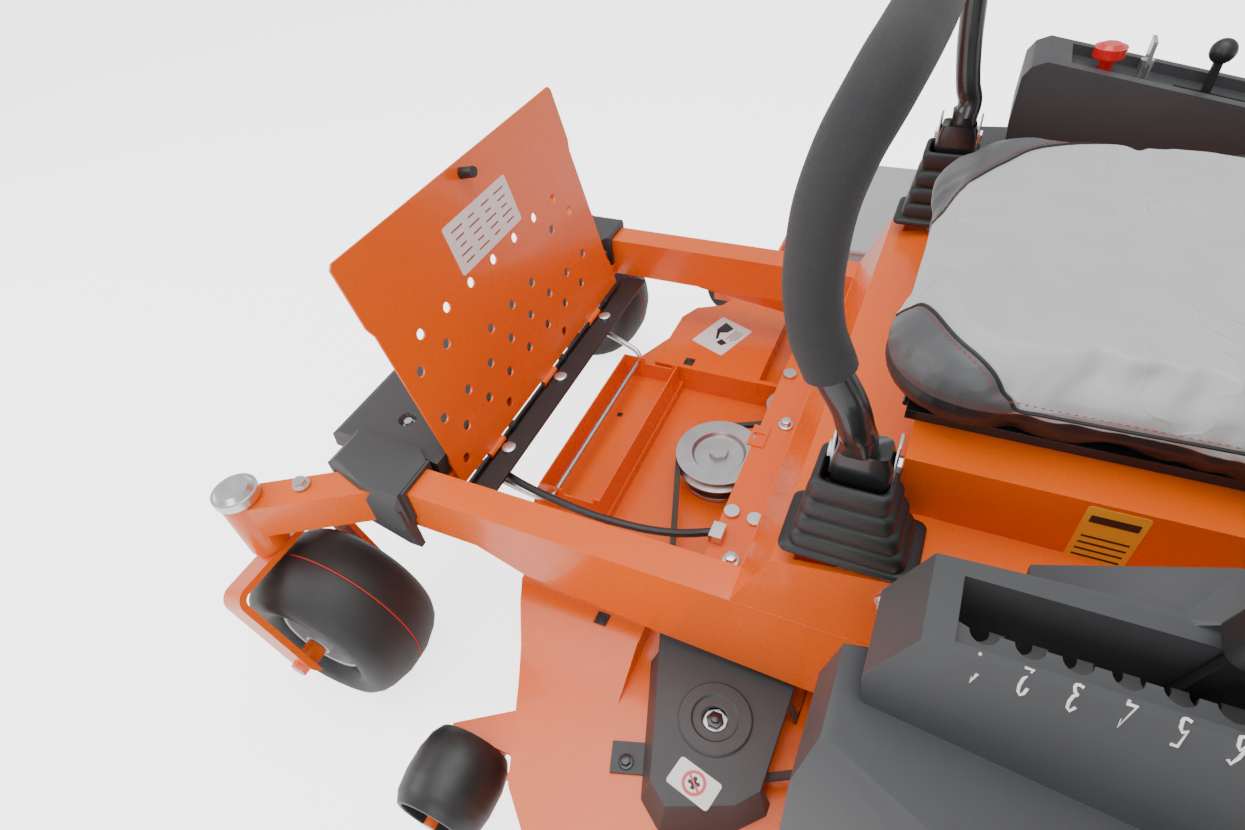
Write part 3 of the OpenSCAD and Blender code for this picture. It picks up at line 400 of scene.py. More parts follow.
# %% From bmesh to a piece
def add_piece(name, bm, body, slot, look=None, crisp=40.0, hides=()):
    """Places the bmesh in the scene as a piece. body is None for one that is tied to no body."""
    bmesh.ops.scale(bm, vec=(0.001, 0.001, 0.001), verts=bm.verts)
    bmesh.ops.translate(bm, vec=(MID_X, AXLE_Y, 0), verts=bm.verts)
    mesh = bpy.data.meshes.new(name)
    bm.normal_update()
    bm.to_mesh(mesh)
    bm.free()
    mesh.shade_smooth()
    mesh.set_sharp_from_angle(angle=math.radians(crisp))
    mesh.materials.append(look or FINISH[slot])
    made = bpy.data.objects.new(name, mesh)
    bpy.context.scene.collection.objects.link(made)
    if body:
        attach(made, body)
    if hides:
        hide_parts(*hides)
    return made


print("helpers ready")

# %% [markdown]
# ## The seat
# A seat pad is foam under stitched vinyl. It starts as a rounded block, a voxel remesh gives it even
# small faces, and a cloth simulation with inner pressure swells it, so the sides pull in towards the
# corners. The seam lines come after that: an attribute on the mesh holds each point's distance from
# the seam, and the finish changes colour exactly where the distance is zero.

# %% Swell a block into a pad
def swollen(bm, name, voxel=6.0, cap=0.024, pressure=4.0):
    """Remeshes the bmesh, swells it by cloth pressure and returns the new mesh, in metres."""
    bmesh.ops.scale(bm, vec=(0.001, 0.001, 0.001), verts=bm.verts)
    bmesh.ops.translate(bm, vec=(MID_X, AXLE_Y, 0), verts=bm.verts)
    mesh = bpy.data.meshes.new(name)
    bm.to_mesh(mesh)
    bm.free()
    pad = bpy.data.objects.new(name, mesh)
    scene = bpy.context.scene
    scene.collection.objects.link(pad)
    remesh = pad.modifiers.new("even", "REMESH")
    remesh.mode = "VOXEL"
    remesh.voxel_size = voxel / 1000
    graph = bpy.context.evaluated_depsgraph_get()
    even = bpy.data.meshes.new_from_object(pad.evaluated_get(graph))
    pad.modifiers.clear()
    pad.data = even
    rest = [v.co.copy() for v in even.vertices]
    cloth = pad.modifiers.new("cloth", "CLOTH")
    cloth.settings.use_pressure = True
    cloth.settings.uniform_pressure_force = pressure
    cloth.settings.effector_weights.gravity = 0
    cloth.point_cache.frame_start = 1
    cloth.point_cache.frame_end = 20
    for step in range(1, 21):
        scene.frame_set(step)
    graph = bpy.context.evaluated_depsgraph_get()
    puffed = bpy.data.meshes.new_from_object(pad.evaluated_get(graph))
    pad.modifiers.clear()
    pad.data = puffed
    scene.frame_set(1)
    for vertex, start in zip(puffed.vertices, rest):
        move = vertex.co - start
        if move.length > cap:
            vertex.co = start + move.normalized() * cap
    return pad


# %% [markdown]
# The cushion's block is smaller than the finished pad, because the pad swells. A little is cut from
# its front top edge, where the thigh rests, and the underside is kept flat on its steel pan.

# %% The cushion's shape
def eased_block(low, high, corner, rim):
    """A block with big upright corners and a soft rim."""
    bm = bmesh.new()
    box(bm, low, high)
    upright = [e for e in bm.edges if abs(e.verts[0].co.z - e.verts[1].co.z) > 1]
    bmesh.ops.bevel(bm, geom=upright, offset=corner, offset_type="OFFSET", segments=8, profile=0.5,
                    affect="EDGES", material=-1)
    around = [e for e in bm.edges if abs(e.verts[0].co.z - e.verts[1].co.z) < 1]
    bmesh.ops.bevel(bm, geom=around, offset=rim, offset_type="OFFSET", segments=4, profile=0.5,
                    affect="EDGES", material=-1)
    return bm


def dish_cushion(mesh):
    """Presses the middle down a little and drops the front edge of a swollen cushion."""
    for vertex in mesh.vertices:
        x = (vertex.co.x - MID_X) * 1000
        y = (vertex.co.y - AXLE_Y) * 1000
        z = vertex.co.z * 1000
        if z > 640:
            high = min(1.0, (z - 640) / 40)
            z -= high * 13 * math.exp(-((x / 150) ** 2) - ((y + 250) / 190) ** 2)
            z -= high * 26 * max(0.0, (-y - 400) / 105) ** 2
            z += high * 5 * math.exp(-(((abs(x) - 205) / 40) ** 2))
        vertex.co.z = max(603.0, min(z, 696.0)) / 1000
        vertex.co.x = MID_X + max(-261.0, min(x, 261.0)) / 1000
        vertex.co.y = AXLE_Y + max(-512.0, min(y, -46.0)) / 1000


cushion = swollen(eased_block((-246, -496, 607), (246, -60, 676), 96, 24), "seat_cushion_pad")
dish_cushion(cushion.data)
print("cushion", len(cushion.data.vertices), "points")

# %% [markdown]
# ## The seat back
# The back is a taller pad that leans a little. It is swollen in the same way, from a block whose
# upright corners are large, then leaned back and hollowed where the driver's back rests.

# %% The back's shape
def back_block():
    bm = bmesh.new()
    box(bm, (-206, -84, 664), (206, -30, 1040))
    upper = [e for e in bm.edges if abs(e.verts[0].co.y - e.verts[1].co.y) > 1]
    bmesh.ops.bevel(bm, geom=upper, offset=92, offset_type="OFFSET", segments=8, profile=0.5,
                    affect="EDGES", material=-1)
    around = [e for e in bm.edges if abs(e.verts[0].co.y - e.verts[1].co.y) < 1]
    bmesh.ops.bevel(bm, geom=around, offset=20, offset_type="OFFSET", segments=4, profile=0.5,
                    affect="EDGES", material=-1)
    return bm


def lean_back(mesh):
    """Leans the pad to the rear, hollows its face and flattens its rear."""
    for vertex in mesh.vertices:
        x = (vertex.co.x - MID_X) * 1000
        y = (vertex.co.y - AXLE_Y) * 1000
        z = vertex.co.z * 1000
        front = y < -57
        if front:
            y += 15 * math.exp(-((x / 120) ** 2)) * min(1.0, (z - 650) / 80)
            y -= 10 * math.exp(-(((abs(x) - 175) / 40) ** 2))
            y -= 9 * math.exp(-(((z - 790) / 80) ** 2)) * math.exp(-((x / 150) ** 2))
        y += (z - 660) * 0.19
        x *= 1 - 0.09 * max(0.0, (z - 900) / 150)
        vertex.co = ((MID_X + x / 1000), AXLE_Y + max(-118.0, min(y, 47.0)) / 1000,
                     max(661.0, min(z, 1076.0)) / 1000)


backrest = swollen(back_block(), "seat_back_pad")
lean_back(backrest.data)
print("back", len(backrest.data.vertices), "points")

# %% [markdown]
# ## Panels and seams
# The cover is three colours: a pale middle panel, dark bolsters, and a black band round the base.
# Each panel edge is a smooth route of listed points. The signed distance to that route is
# stored on every point of the pad, negative outside the panel. Near the route the pad is also pulled
# in, because a seam draws the foam down.

# %% Seam routes and distances
def smooth_route(points, steps=10):
    """Catmull-Rom points through a list of (x, y) pairs."""
    ends = [points[0]] + list(points) + [points[-1]]
    route = []
    for a, b, c, d in zip(ends, ends[1:], ends[2:], ends[3:]):
        for k in range(steps):
            t = k / steps
            route.append(tuple(0.5 * (2 * q + (r - p) * t + (2 * p - 5 * q + 4 * r - s) * t * t
                                      + (3 * q - p - 3 * r + s) * t ** 3)
                               for p, q, r, s in zip(a, b, c, d)))
    route.append(tuple(points[-1]))
    return route


def side_of(point, route):
    """Distance from a point to an open route, and which side of it the point is on."""
    best, sign = 1e9, 1.0
    px, py = point
    for (ax, ay), (bx, by) in zip(route, route[1:]):
        dx, dy = bx - ax, by - ay
        length = dx * dx + dy * dy or 1e-9
        t = max(0.0, min(1.0, ((px - ax) * dx + (py - ay) * dy) / length))
        gap = math.hypot(px - ax - t * dx, py - ay - t * dy)
        if gap < best:
            best = gap
            sign = 1.0 if dx * (py - ay) - dy * (px - ax) > 0 else -1.0
    return best * sign


CUSHION_LEFT = smooth_route([(150, -560), (148, -512), (132, -490), (127, -474), (138, -460), (160, -446),
                             (187, -430), (206, -412), (226, -378), (235, -340), (239, -298),
                             (238, -250), (236, -200), (228, -150), (205, -110), (170, -86),
                             (150, -30)])
CUSHION_RIGHT = smooth_route([(-20, -560), (-30, -510), (-50, -480), (-78, -450), (-128, -414),
                              (-174, -382), (-200, -330), (-211, -262), (-208, -214),
                              (-196, -170), (-180, -120), (-165, -80), (-150, -30)])
BACK_SIDE = smooth_route([(120, 600), (128, 690), (150, 760), (158, 850), (140, 940), (112, 1000),
                          (96, 1100)])
print(len(CUSHION_LEFT), "points on the left seam")

# %% [markdown]
# The attribute is written for both pads. On the cushion the route is seen from above, and on the
# back from the front. `band` is the distance above the line where the black base band begins.

# %% Write the panel attributes
def mark_cushion(mesh):
    panel = mesh.attributes.new("panel", "FLOAT", "POINT")
    band = mesh.attributes.new("band", "FLOAT", "POINT")
    mesh.update()
    for vertex in mesh.vertices:
        x = (vertex.co.x - MID_X) * 1000
        y = (vertex.co.y - AXLE_Y) * 1000
        z = vertex.co.z * 1000
        left = side_of((x, y), CUSHION_LEFT)
        right = -side_of((x, y), CUSHION_RIGHT)
        inside = min(left, right)
        panel.data[vertex.index].value = inside / 10
        edge = 640 + 5 * math.sin(y / 150)
        band.data[vertex.index].value = (z - edge) / 10
        up = max(0.0, vertex.normal.z)
        vertex.co -= vertex.normal * (0.0042 * math.exp(-((inside / 4.5) ** 2)) * up)
        vertex.co -= vertex.normal * (0.003 * math.exp(-(((z - edge) / 4.0) ** 2)) * (1 - up))


def mark_back(mesh):
    panel = mesh.attributes.new("panel", "FLOAT", "POINT")
    band = mesh.attributes.new("band", "FLOAT", "POINT")
    mesh.update()
    for vertex in mesh.vertices:
        x = abs(vertex.co.x - MID_X) * 1000
        z = vertex.co.z * 1000
        front = max(0.0, -vertex.normal.y)
        inside = side_of((x, z), BACK_SIDE)
        panel.data[vertex.index].value = (inside if front > 0.2 else -40) / 10
        deep = (vertex.co.y - AXLE_Y) * 1000 - (z - 660) * 0.19
        band.data[vertex.index].value = (-58 - deep) / 10
        vertex.co -= vertex.normal * (0.0042 * math.exp(-((inside / 4.5) ** 2)) * front)


mark_cushion(cushion.data)
mark_back(backrest.data)

# %% [markdown]
# ## Vinyl
# The finish mixes its three colours by the two attributes. Two bumps are added: an even leather
# grain, and long shallow creases only in the pale panel, where sitting stretches the cover.

# %% The seat cover's finish
def seat_cover():
    cover = finish("seat_cover", (0.4, 0.4, 0.4), 0.44, 1100, 0.4, 0.0005, 0.02, rough_shift=0.05)
    tree = cover.node_tree
    shader = tree.nodes["Principled BSDF"]
    link = tree.links.new

    def edge_mask(attribute, width):
        value = tree.nodes.new("ShaderNodeAttribute")
        value.attribute_name = attribute
        span = tree.nodes.new("ShaderNodeMapRange")
        span.inputs["From Min"].default_value = -width
        span.inputs["From Max"].default_value = width
        link(value.outputs["Fac"], span.inputs["Value"])
        return span.outputs["Result"]

    def blend(factor, first, second):
        mix = tree.nodes.new("ShaderNodeMix")
        mix.data_type = "RGBA"
        link(factor, mix.inputs["Factor"])
        for socket, value in ((mix.inputs["A"], first), (mix.inputs["B"], second)):
            if isinstance(value, tuple):
                socket.default_value = (*value, 1)
            else:
                link(value, socket)
        return mix.outputs["Result"]

    place = next(n for n in tree.nodes if n.type == "TEX_COORD")
    haze = tree.nodes.new("ShaderNodeTexNoise")
    haze.inputs["Scale"].default_value = 16
    haze.inputs["Detail"].default_value = 5
    link(place.outputs["Object"], haze.inputs["Vector"])
    pale = blend(haze.outputs["Fac"], (0.40, 0.405, 0.415), (0.52, 0.525, 0.535))
    dark = blend(haze.outputs["Fac"], (0.060, 0.062, 0.066), (0.10, 0.102, 0.107))
    panel = edge_mask("panel", 0.10)
    upper = blend(panel, dark, pale)
    link(blend(edge_mask("band", 0.08), (0.012, 0.012, 0.013), upper), shader.inputs["Base Color"])
    swirl = tree.nodes.new("ShaderNodeTexNoise")
    swirl.inputs["Scale"].default_value = 7
    swirl.inputs["Detail"].default_value = 3
    link(place.outputs["Object"], swirl.inputs["Vector"])
    shift = tree.nodes.new("ShaderNodeVectorMath")
    shift.operation = "MULTIPLY_ADD"
    shift.inputs[1].default_value = (0.16, 0.16, 0.16)
    link(swirl.outputs["Color"], shift.inputs[0])
    link(place.outputs["Object"], shift.inputs[2])
    crease = tree.nodes.new("ShaderNodeTexVoronoi")
    crease.feature = "DISTANCE_TO_EDGE"
    crease.inputs["Scale"].default_value = 17
    link(shift.outputs["Vector"], crease.inputs["Vector"])
    thin = tree.nodes.new("ShaderNodeMapRange")
    thin.inputs["From Max"].default_value = 0.05
    thin.inputs["To Min"].default_value = 1.0
    thin.inputs["To Max"].default_value = 0.0
    link(crease.outputs["Distance"], thin.inputs["Value"])
    patch = tree.nodes.new("ShaderNodeTexNoise")
    patch.inputs["Scale"].default_value = 11
    link(place.outputs["Object"], patch.inputs["Vector"])
    worn = tree.nodes.new("ShaderNodeMapRange")
    worn.inputs["From Min"].default_value = 0.45
    worn.inputs["From Max"].default_value = 0.68
    link(patch.outputs["Fac"], worn.inputs["Value"])
    depth = tree.nodes.new("ShaderNodeMath")
    depth.operation = "MULTIPLY"
    link(thin.outputs["Result"], depth.inputs[0])
    link(worn.outputs["Result"], depth.inputs[1])
    only = tree.nodes.new("ShaderNodeMath")
    only.operation = "MULTIPLY"
    link(depth.outputs["Value"], only.inputs[0])
    link(panel, only.inputs[1])
    ridge = tree.nodes.new("ShaderNodeBump")
    ridge.inputs["Strength"].default_value = 0.55
    ridge.inputs["Distance"].default_value = 0.0012
    link(only.outputs["Value"], ridge.inputs["Height"])
    grain = next(n for n in tree.nodes if n.type == "BUMP")
    link(grain.outputs["Normal"], ridge.inputs["Normal"])
    link(ridge.outputs["Normal"], shader.inputs["Normal"])
    return cover


cover = seat_cover()
for pad, node in ((cushion, "seat_cushion"), (backrest, "seat_back")):
    pad.data.materials.clear()
    pad.data.materials.append(cover)
    pad.data.shade_smooth()
    rounder = pad.modifiers.new("smooth", "SUBSURF")
    rounder.levels = rounder.render_levels = 1
    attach(pad, "seat")
    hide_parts(node)
print("pads covered")

# %% [markdown]
# ## Stitches
# A row of short red stitches runs beside each seam on the cushion, and a black piping cord lies in
# it. Both are dropped on to the pad from above: a ray finds the height of the cover under every point.

# %% Piping and stitches on the cushion
from mathutils.bvhtree import BVHTree

graph = bpy.context.evaluated_depsgraph_get()
cover_tree = BVHTree.FromObject(cushion, graph)


def on_cushion(x, y, lift=0.0):
    """The point of the cushion's top under (x, y), in millimetres, or None."""
    hit = cover_tree.ray_cast(at(x, y, 900), Vector((0, 0, -1)))[0]
    return None if hit is None else (x, y, hit.z * 1000 + lift)


def beside(route, gap):
    """The route moved sideways by gap."""
    moved = []
    for before, here, after in zip(route, route[1:], route[2:]):
        dx, dy = after[0] - before[0], after[1] - before[1]
        length = math.hypot(dx, dy) or 1.0
        moved.append((here[0] - dy / length * gap, here[1] + dx / length * gap))
    return moved


def paced(points, gap):
    """Points every gap millimetres along a 3-D route."""
    out, left = [points[0]], gap
    for a, b in zip(points, points[1:]):
        step = math.dist(a, b)
        while step >= left > 0:
            t = left / step
            a = tuple(p + (q - p) * t for p, q in zip(a, b))
            out.append(a)
            step = math.dist(a, b)
            left = gap
        left -= step
    return out


cord_bm, thread_bm = bmesh.new(), bmesh.new()
for route, outward in ((CUSHION_LEFT, -1), (CUSHION_RIGHT, 1)):
    lying = [p for p in (on_cushion(x, y, 0.4) for x, y in route) if p]
    pipe(cord_bm, paced(lying, 9), 1.7, sides=2, steps=3)
    row = [p for p in (on_cushion(x, y, 0.3) for x, y in beside(route, 5.0 * outward)) if p]
    marks = paced(row, 3.1)
    for a, b in zip(marks[0::2], marks[1::2]):
        middle = (Vector(a) + Vector(b)) / 2
        turn = Vector((1, 0, 0)).rotation_difference(Vector(b) - Vector(a)).to_matrix().to_4x4()
        bmesh.ops.create_icosphere(thread_bm, subdivisions=1, radius=1, matrix=Matrix.Translation(middle)
                                   @ turn @ Matrix.Diagonal((2.0, 0.65, 0.5, 1)))
add_piece("seat_piping", cord_bm, "seat", "dark_vinyl", FINISH["black_rubber"])
add_piece("seat_stitches", thread_bm, "seat", "red_thread")
print("piping and stitches laid")

# %% [markdown]
# ## Tyres
# A caster tyre is smooth with a round shoulder, a thin red line round its middle and a few moulding
# nibs. A profile turned round the axle gives it. A drive tyre has turf blocks: one block is made,
# then copied round in five staggered rows. Both replace plain CAD rings of the same size.

# %% Caster tyres
def caster_tyre(node, side):
    low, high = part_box(node)
    cx = (low[0] + high[0]) * 500 - MID_X * 1000
    cy = (low[1] + high[1]) * 500 - AXLE_Y * 1000
    cz = (low[2] + high[2]) * 500
    wide = (high[0] - low[0]) * 500
    r = (high[2] - low[2]) * 500
    bm = bmesh.new()
    half = [(72, -wide + 20), (84, -wide + 5), (100, -wide + 0.5), (114, -wide + 4), (124, -wide + 13),
            (131, -wide + 26), (136, -wide + 44), (139.2, -20), (r - 0.3, -2.6), (r - 1.6, -1.6),
            (r - 1.6, 1.6), (r - 0.3, 2.6)]
    profile = half + [(139.2, 20)] + [(a, -b) for a, b in reversed(half[:7])]
    turned(bm, [(a, b) for a, b in profile], (cx, cy, cz), "X", 96)
    for k in range(14):
        angle = math.tau * k / 14 + 0.2
        spot = (cx + (18 if k % 2 else -22), cy + 138.4 * math.cos(angle), cz + 138.4 * math.sin(angle))
        bmesh.ops.create_icosphere(bm, subdivisions=1, radius=1.3, matrix=Matrix.Translation(spot))
    add_piece(node + "_rubber", bm, side + "_caster_wheel", "tyre", crisp=50, hides=(node,))
    line = bmesh.new()
    turned(line, [(r - 1.8, -1.4), (r - 0.7, -1.0), (r - 0.7, 1.0), (r - 1.8, 1.4)], (cx, cy, cz), "X", 96)
    add_piece(node + "_line", line, side + "_caster_wheel", "red_thread")


for side in ("left", "right"):
    caster_tyre(side + "_caster_tyre", side)
print("caster tyres turned")

# %% Drive tyres
def drive_tyre(node, side):
    low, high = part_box(node)
    cx = (low[0] + high[0]) * 500 - MID_X * 1000
    cz = (low[2] + high[2]) * 500
    wide = (high[0] - low[0]) * 500
    r = (high[2] - low[2]) * 500
    bm = bmesh.new()
    half = [(102, -wide + 26), (108, -wide + 14), (130, -wide + 5), (160, -wide + 0.5),
            (186, -wide + 5), (203, -wide + 14), (214, -wide + 28), (219, -wide + 60), (221.5, 0)]
    profile = half + [(a, -b) for a, b in reversed(half[:-1])]
    turned(bm, profile, (cx, 0, cz), "X", 96)
    rows = ((0, 0.0, 24, 30), (42, 0.5, 22, 28), (-42, 0.5, 22, 28), (84, 0.0, 26, 34), (-84, 0.0, 26, 34))
    count = 34
    for offset, shift, wide_x, long_y in rows:
        base = 219.0 - 3.6 * (abs(offset) / 84) ** 2
        height = r - 0.2 - 3.4 * (abs(offset) / 84) ** 2 - base
        for k in range(count):
            lump = Matrix.Translation((0, 0, base + height / 2 - 2))
            block = bmesh.ops.create_cube(bm, size=1, matrix=lump
                                          @ Matrix.Diagonal((wide_x, long_y, height + 4, 1)))["verts"]
            for v in block:
                if v.co.z > base:
                    v.co.x *= 0.86
                    v.co.y *= 0.84
            angle = math.tau * (k + shift) / count
            bmesh.ops.transform(bm, matrix=Matrix.Translation((cx + offset, 0, cz))
                                @ Matrix.Rotation(angle, 4, "X") @ Matrix.Rotation(0.25 if offset > 0 else -0.25, 4, "Z"),
                                verts=block)
    add_piece(node + "_rubber", bm, side + "_drive_wheel", "tyre", crisp=35, hides=(node,))


for side in ("left", "right"):
    drive_tyre(side + "_drive_tyre", side)
print("drive tyres with turf blocks")

# %% [markdown]
# ## Lever boots
# A rubber bellows closes the slot round each lever. A rounded rectangle is extruded upwards ring by
# ring, each ring a little larger or smaller than the last, so it folds like a real bellows. It is tied
# to neither the seat box nor the lever.

# %% Bellows
def ring_of(wide, deep, corner, steps=6):
    """Points of a rectangle with round corners, about the origin."""
    points = []
    for cx, cy, start in ((1, 1, 0), (-1, 1, 90), (-1, -1, 180), (1, -1, 270)):
        for k in range(steps + 1):
            a = math.radians(start + 90 * k / steps)
            points.append((cx * (wide - corner) + corner * math.cos(a),
                           cy * (deep - corner) + corner * math.sin(a)))
    return points


def stack(bm, rings, close_top=False):
    """Extrudes a ring upwards through (centre x, centre y, half width, half depth, corner, z)."""
    cx, cy, wide, deep, corner, z = rings[0]
    verts = [bm.verts.new((cx + x, cy + y, z)) for x, y in ring_of(wide, deep, corner)]
    edges = [bm.edges.new((a, b)) for a, b in zip(verts, verts[1:] + verts[:1])]
    for cx, cy, wide, deep, corner, z in rings[1:]:
        made = bmesh.ops.extrude_edge_only(bm, edges=edges)["geom"]
        edges = [g for g in made if isinstance(g, bmesh.types.BMEdge)
                 and all(v in made for v in g.verts)]
        fresh = [g for g in made if isinstance(g, bmesh.types.BMVert)]
        partner = {}
        for v in fresh:
            for e in v.link_edges:
                other = e.other_vert(v)
                if other not in fresh:
                    partner[other] = v
        verts = [partner[v] for v in verts]
        for v, (x, y) in zip(verts, ring_of(wide, deep, corner)):
            v.co = (cx + x, cy + y, z)
    if close_top:
        bm.faces.new(verts)
    bmesh.ops.recalc_face_normals(bm, faces=bm.faces)
    return verts


def boot(side, sign):
    bm = bmesh.new()
    rings = [(312, -470, 38, 64, 10, 516), (312, -470, 38.5, 65, 10, 519), (312, -470, 38, 64.5, 10, 523),
             (313, -471, 35, 57, 12, 524.5)]
    for k in range(3):
        x, y, z = 314 + k, -471 - 2 * k, 525 + 24 * k
        wide, deep = 34 - 2 * k, 54 - 6 * k
        rings += [(x, y, wide - 1.5, deep - 1.5, 11, z), (x, y, wide, deep, 12, z + 2.5),
                  (x, y, wide - 0.5, deep - 0.5, 12, z + 13), (x, y, wide - 2, deep - 2.5, 12, z + 18),
                  (x, y, wide - 5, deep - 7.5, 11, z + 20.5), (x, y, wide - 7, deep - 10, 10, z + 21)]
    rings += [(318, -476, 25, 35, 10, 597), (318, -476, 28, 36, 10, 600), (318, -476, 28, 36, 10, 617),
              (318, -476, 26.5, 34.5, 9, 621.5), (318, -476, 22, 29, 8, 622), (318, -476, 20.5, 28, 8, 619),
              (318, -476, 20, 27.5, 8, 596)]
    stack(bm, rings)
    if sign < 0:
        bmesh.ops.scale(bm, vec=(-1, 1, 1), verts=bm.verts)
        bmesh.ops.reverse_faces(bm, faces=bm.faces)
    made = add_piece(side + "_bellows", bm, None, "black_rubber", crisp=70, hides=(side + "_boot",))
    thick = made.modifiers.new("wall", "SOLIDIFY")
    thick.thickness = 0.0016
    thick.offset = -1
    fine = made.modifiers.new("fine", "SUBSURF")
    fine.levels = fine.render_levels = 1
    return made


boots = {side: boot(side, sign) for side, sign in (("left", 1), ("right", -1))}
for side, made in boots.items():
    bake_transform(made)
print("boots folded")

# %% [markdown]
# ## Levers and grips
# Each lever is a bent steel tube in gloss black with a thick foam sleeve over its upper half. The
# route repeats the CAD one; a smooth curve through it makes cleaner bends than a faceted sweep.
# A flattened foot drops into the boot, and a slotted bracket with two bolts sits behind it.

# %% Tubes and foam
LEFT_TUBE = [(322, -478, 662), (328, -483, 682), (330, -490, 705), (330, -508, 738), (330, -523, 778),
             (330, -527, 847), (329, -517, 905), (316, -503, 942), (270, -496, 956), (190, -494, 958),
             (90, -494, 958)]
RIGHT_TUBE = [(322, -468, 662), (328, -467, 682), (328, -473, 700), (330, -481, 738), (330, -486, 778),
              (330, -491, 847), (329, -491, 905), (316, -488, 942), (270, -486, 956),
              (190, -485, 958), (90, -485, 958)]


def lever(side, sign, route, first):
    body = side + "_control"
    start = route[0]
    bm = bmesh.new()
    pipe(bm, route[:8], 15.4, sides=5, steps=8)
    foot = [(start[0], start[1] - 1, 13.5, 17, 12, 652), (start[0] + 1, start[1] - 1, 15.5, 16, 14, 662),
            (start[0] + 3, start[1] - 2, 15.6, 15.6, 15, 672)]
    skirt = [(318, -472, 14, 25, 6, 612), (318, -472, 14.2, 25.2, 6, 640), (319, -473, 14.5, 22, 8, 655)]
    stack(bm, skirt + foot, close_top=True)
    base = [v for v in bm.verts if abs(v.co.z - 612) < 0.01]
    bm.faces.new(sorted(base, key=lambda v: math.atan2(v.co.y + 472, v.co.x - 318)))
    bmesh.ops.recalc_face_normals(bm, faces=bm.faces)
    if sign < 0:
        bmesh.ops.scale(bm, vec=(-1, 1, 1), verts=bm.verts)
        bmesh.ops.reverse_faces(bm, faces=bm.faces)
    add_piece(side + "_tube", bm, body, "black_paint", crisp=50, hides=(side + "_lever",))
    foam = bmesh.new()
    upper = route[first:]
    pipe(foam, upper, 21.4, sides=7, steps=10)
    for v in foam.verts:
        v.co += v.normal * 0.0
    if sign < 0:
        bmesh.ops.scale(foam, vec=(-1, 1, 1), verts=foam.verts)
        bmesh.ops.reverse_faces(foam, faces=foam.faces)
    rims = [e for e in foam.edges if any(len(f.verts) > 4 for f in e.link_faces)]
    bmesh.ops.bevel(foam, geom=rims, offset=4.5, offset_type="OFFSET", segments=4, profile=0.5,
                    affect="EDGES", material=-1)
    add_piece(side + "_foam", foam, body, "grip_foam", crisp=60, hides=(side + "_grip",))
    links = bmesh.new()
    for dy in (-25.5, 25.5):
        plate_low = (sign * 318 - 9, -472 + dy - 1.5, 618)
        box(links, plate_low, (sign * 318 + 9, -472 + dy + 1.5, 668), bevel=1.2)
        drum(links, (sign * 318, -472 + dy * 1.1, 640), 7.5, 5, "Y", steps=6, bevel=0.6)
    add_piece(side + "_lever_bracket", links, body, "zinc", crisp=30)


lever("left", 1, LEFT_TUBE, 3)
lever("right", -1, RIGHT_TUBE, 5)
print("levers bent and sleeved")

# %% [markdown]
# ## Rounded edges
# Pressed sheet has small radii, castings larger ones and moulded plastic the largest. The widths
# below are those radii in millimetres. Parts that new pieces hide are left out.

# %% Round the CAD parts that stay
ROUNDING = {
    1.2: "left_rail right_rail cross_members seat_box rear_frame deck_tray deck_shell "
         "transaxles hinge_strip seat_pan height_lever spindle_covers",
    0.8: "floor_pan left_fork right_fork left_spindle centre_spindle right_spindle belt_idler "
         "spindle_housings frame_bolts engine_pulley lift_shaft pan_latch front_link",
    2.0: "battery engine_block muffler fuel_tank fuel_cap left_pivot right_pivot discharge_chute "
         "left_caster_rim right_caster_rim left_drive_rim right_drive_rim scalp_rollers",
    5.0: "footrest engine_shroud",
    7.0: "left_console right_console",
}
for width, names in ROUNDING.items():
    for node in names.split():
        soften(node, width, segments=4 if width > 3 else 2)
print("edges rounded")
# %% [markdown]
# ## Small parts on the surfaces
# Labels, figures and fasteners sit on the CAD's own surfaces. A ray finds where most of them land, so
# such a part follows a change in the CAD. Labels are plain sheets with shapes and no lettering.

# %% Find a surface and lay things on it
def skin(node):
    """A search tree of a CAD node's mesh."""
    bm = bmesh.new()
    bm.from_mesh(frame["nodes"][node].data)
    tree = BVHTree.FromBMesh(bm)
    bm.free()
    return tree


def landing(tree, start, way=(0, 0, -1)):
    """Where a ray from a point meets the part, in millimetres, and the surface's normal there."""
    hit, normal, _, _ = tree.ray_cast(at(*start), Vector(way))
    if normal.dot(Vector(way)) > 0:
        normal = -normal
    return Vector(((hit.x - MID_X) * 1000, (hit.y - AXLE_Y) * 1000, hit.z * 1000)), normal


def laid(bm, before, centre, across, normal, lift=0.0):
    """Turns the vertices added since before was taken so that they lie on a surface."""
    across = (Vector(across) - Vector(across).dot(normal) * normal).normalized()
    up = normal.cross(across)
    turn = Matrix((across, up, normal)).transposed().to_4x4()
    bmesh.ops.transform(bm, matrix=Matrix.Translation(Vector(centre) + normal * lift) @ turn,
                        verts=fresh(bm, before))


def sheet(bm, centre, across, normal, size, lift=0.0, thick=0.5, corner=2.0):
    """A thin label with round corners, lying on a surface."""
    before = set(bm.verts)
    half_x, half_y = size[0] / 2 - corner, size[1] / 2 - corner
    outline = []
    for k in range(20):
        turn = math.tau * (k + 0.5) / 20
        outline.append((math.copysign(half_x, math.cos(turn)) + corner * math.cos(turn),
                        math.copysign(half_y, math.sin(turn)) + corner * math.sin(turn)))
    plate(bm, outline, -0.2, thick + 0.2)
    laid(bm, before, centre, across, normal, lift)


print("surface helpers ready")

# %% [markdown]
# The height of cut is marked by six figures along the console's outer slope. Each figure is drawn
# as strokes in a box 0.6 wide and 1 high, and read from the seat, so its top points outwards.

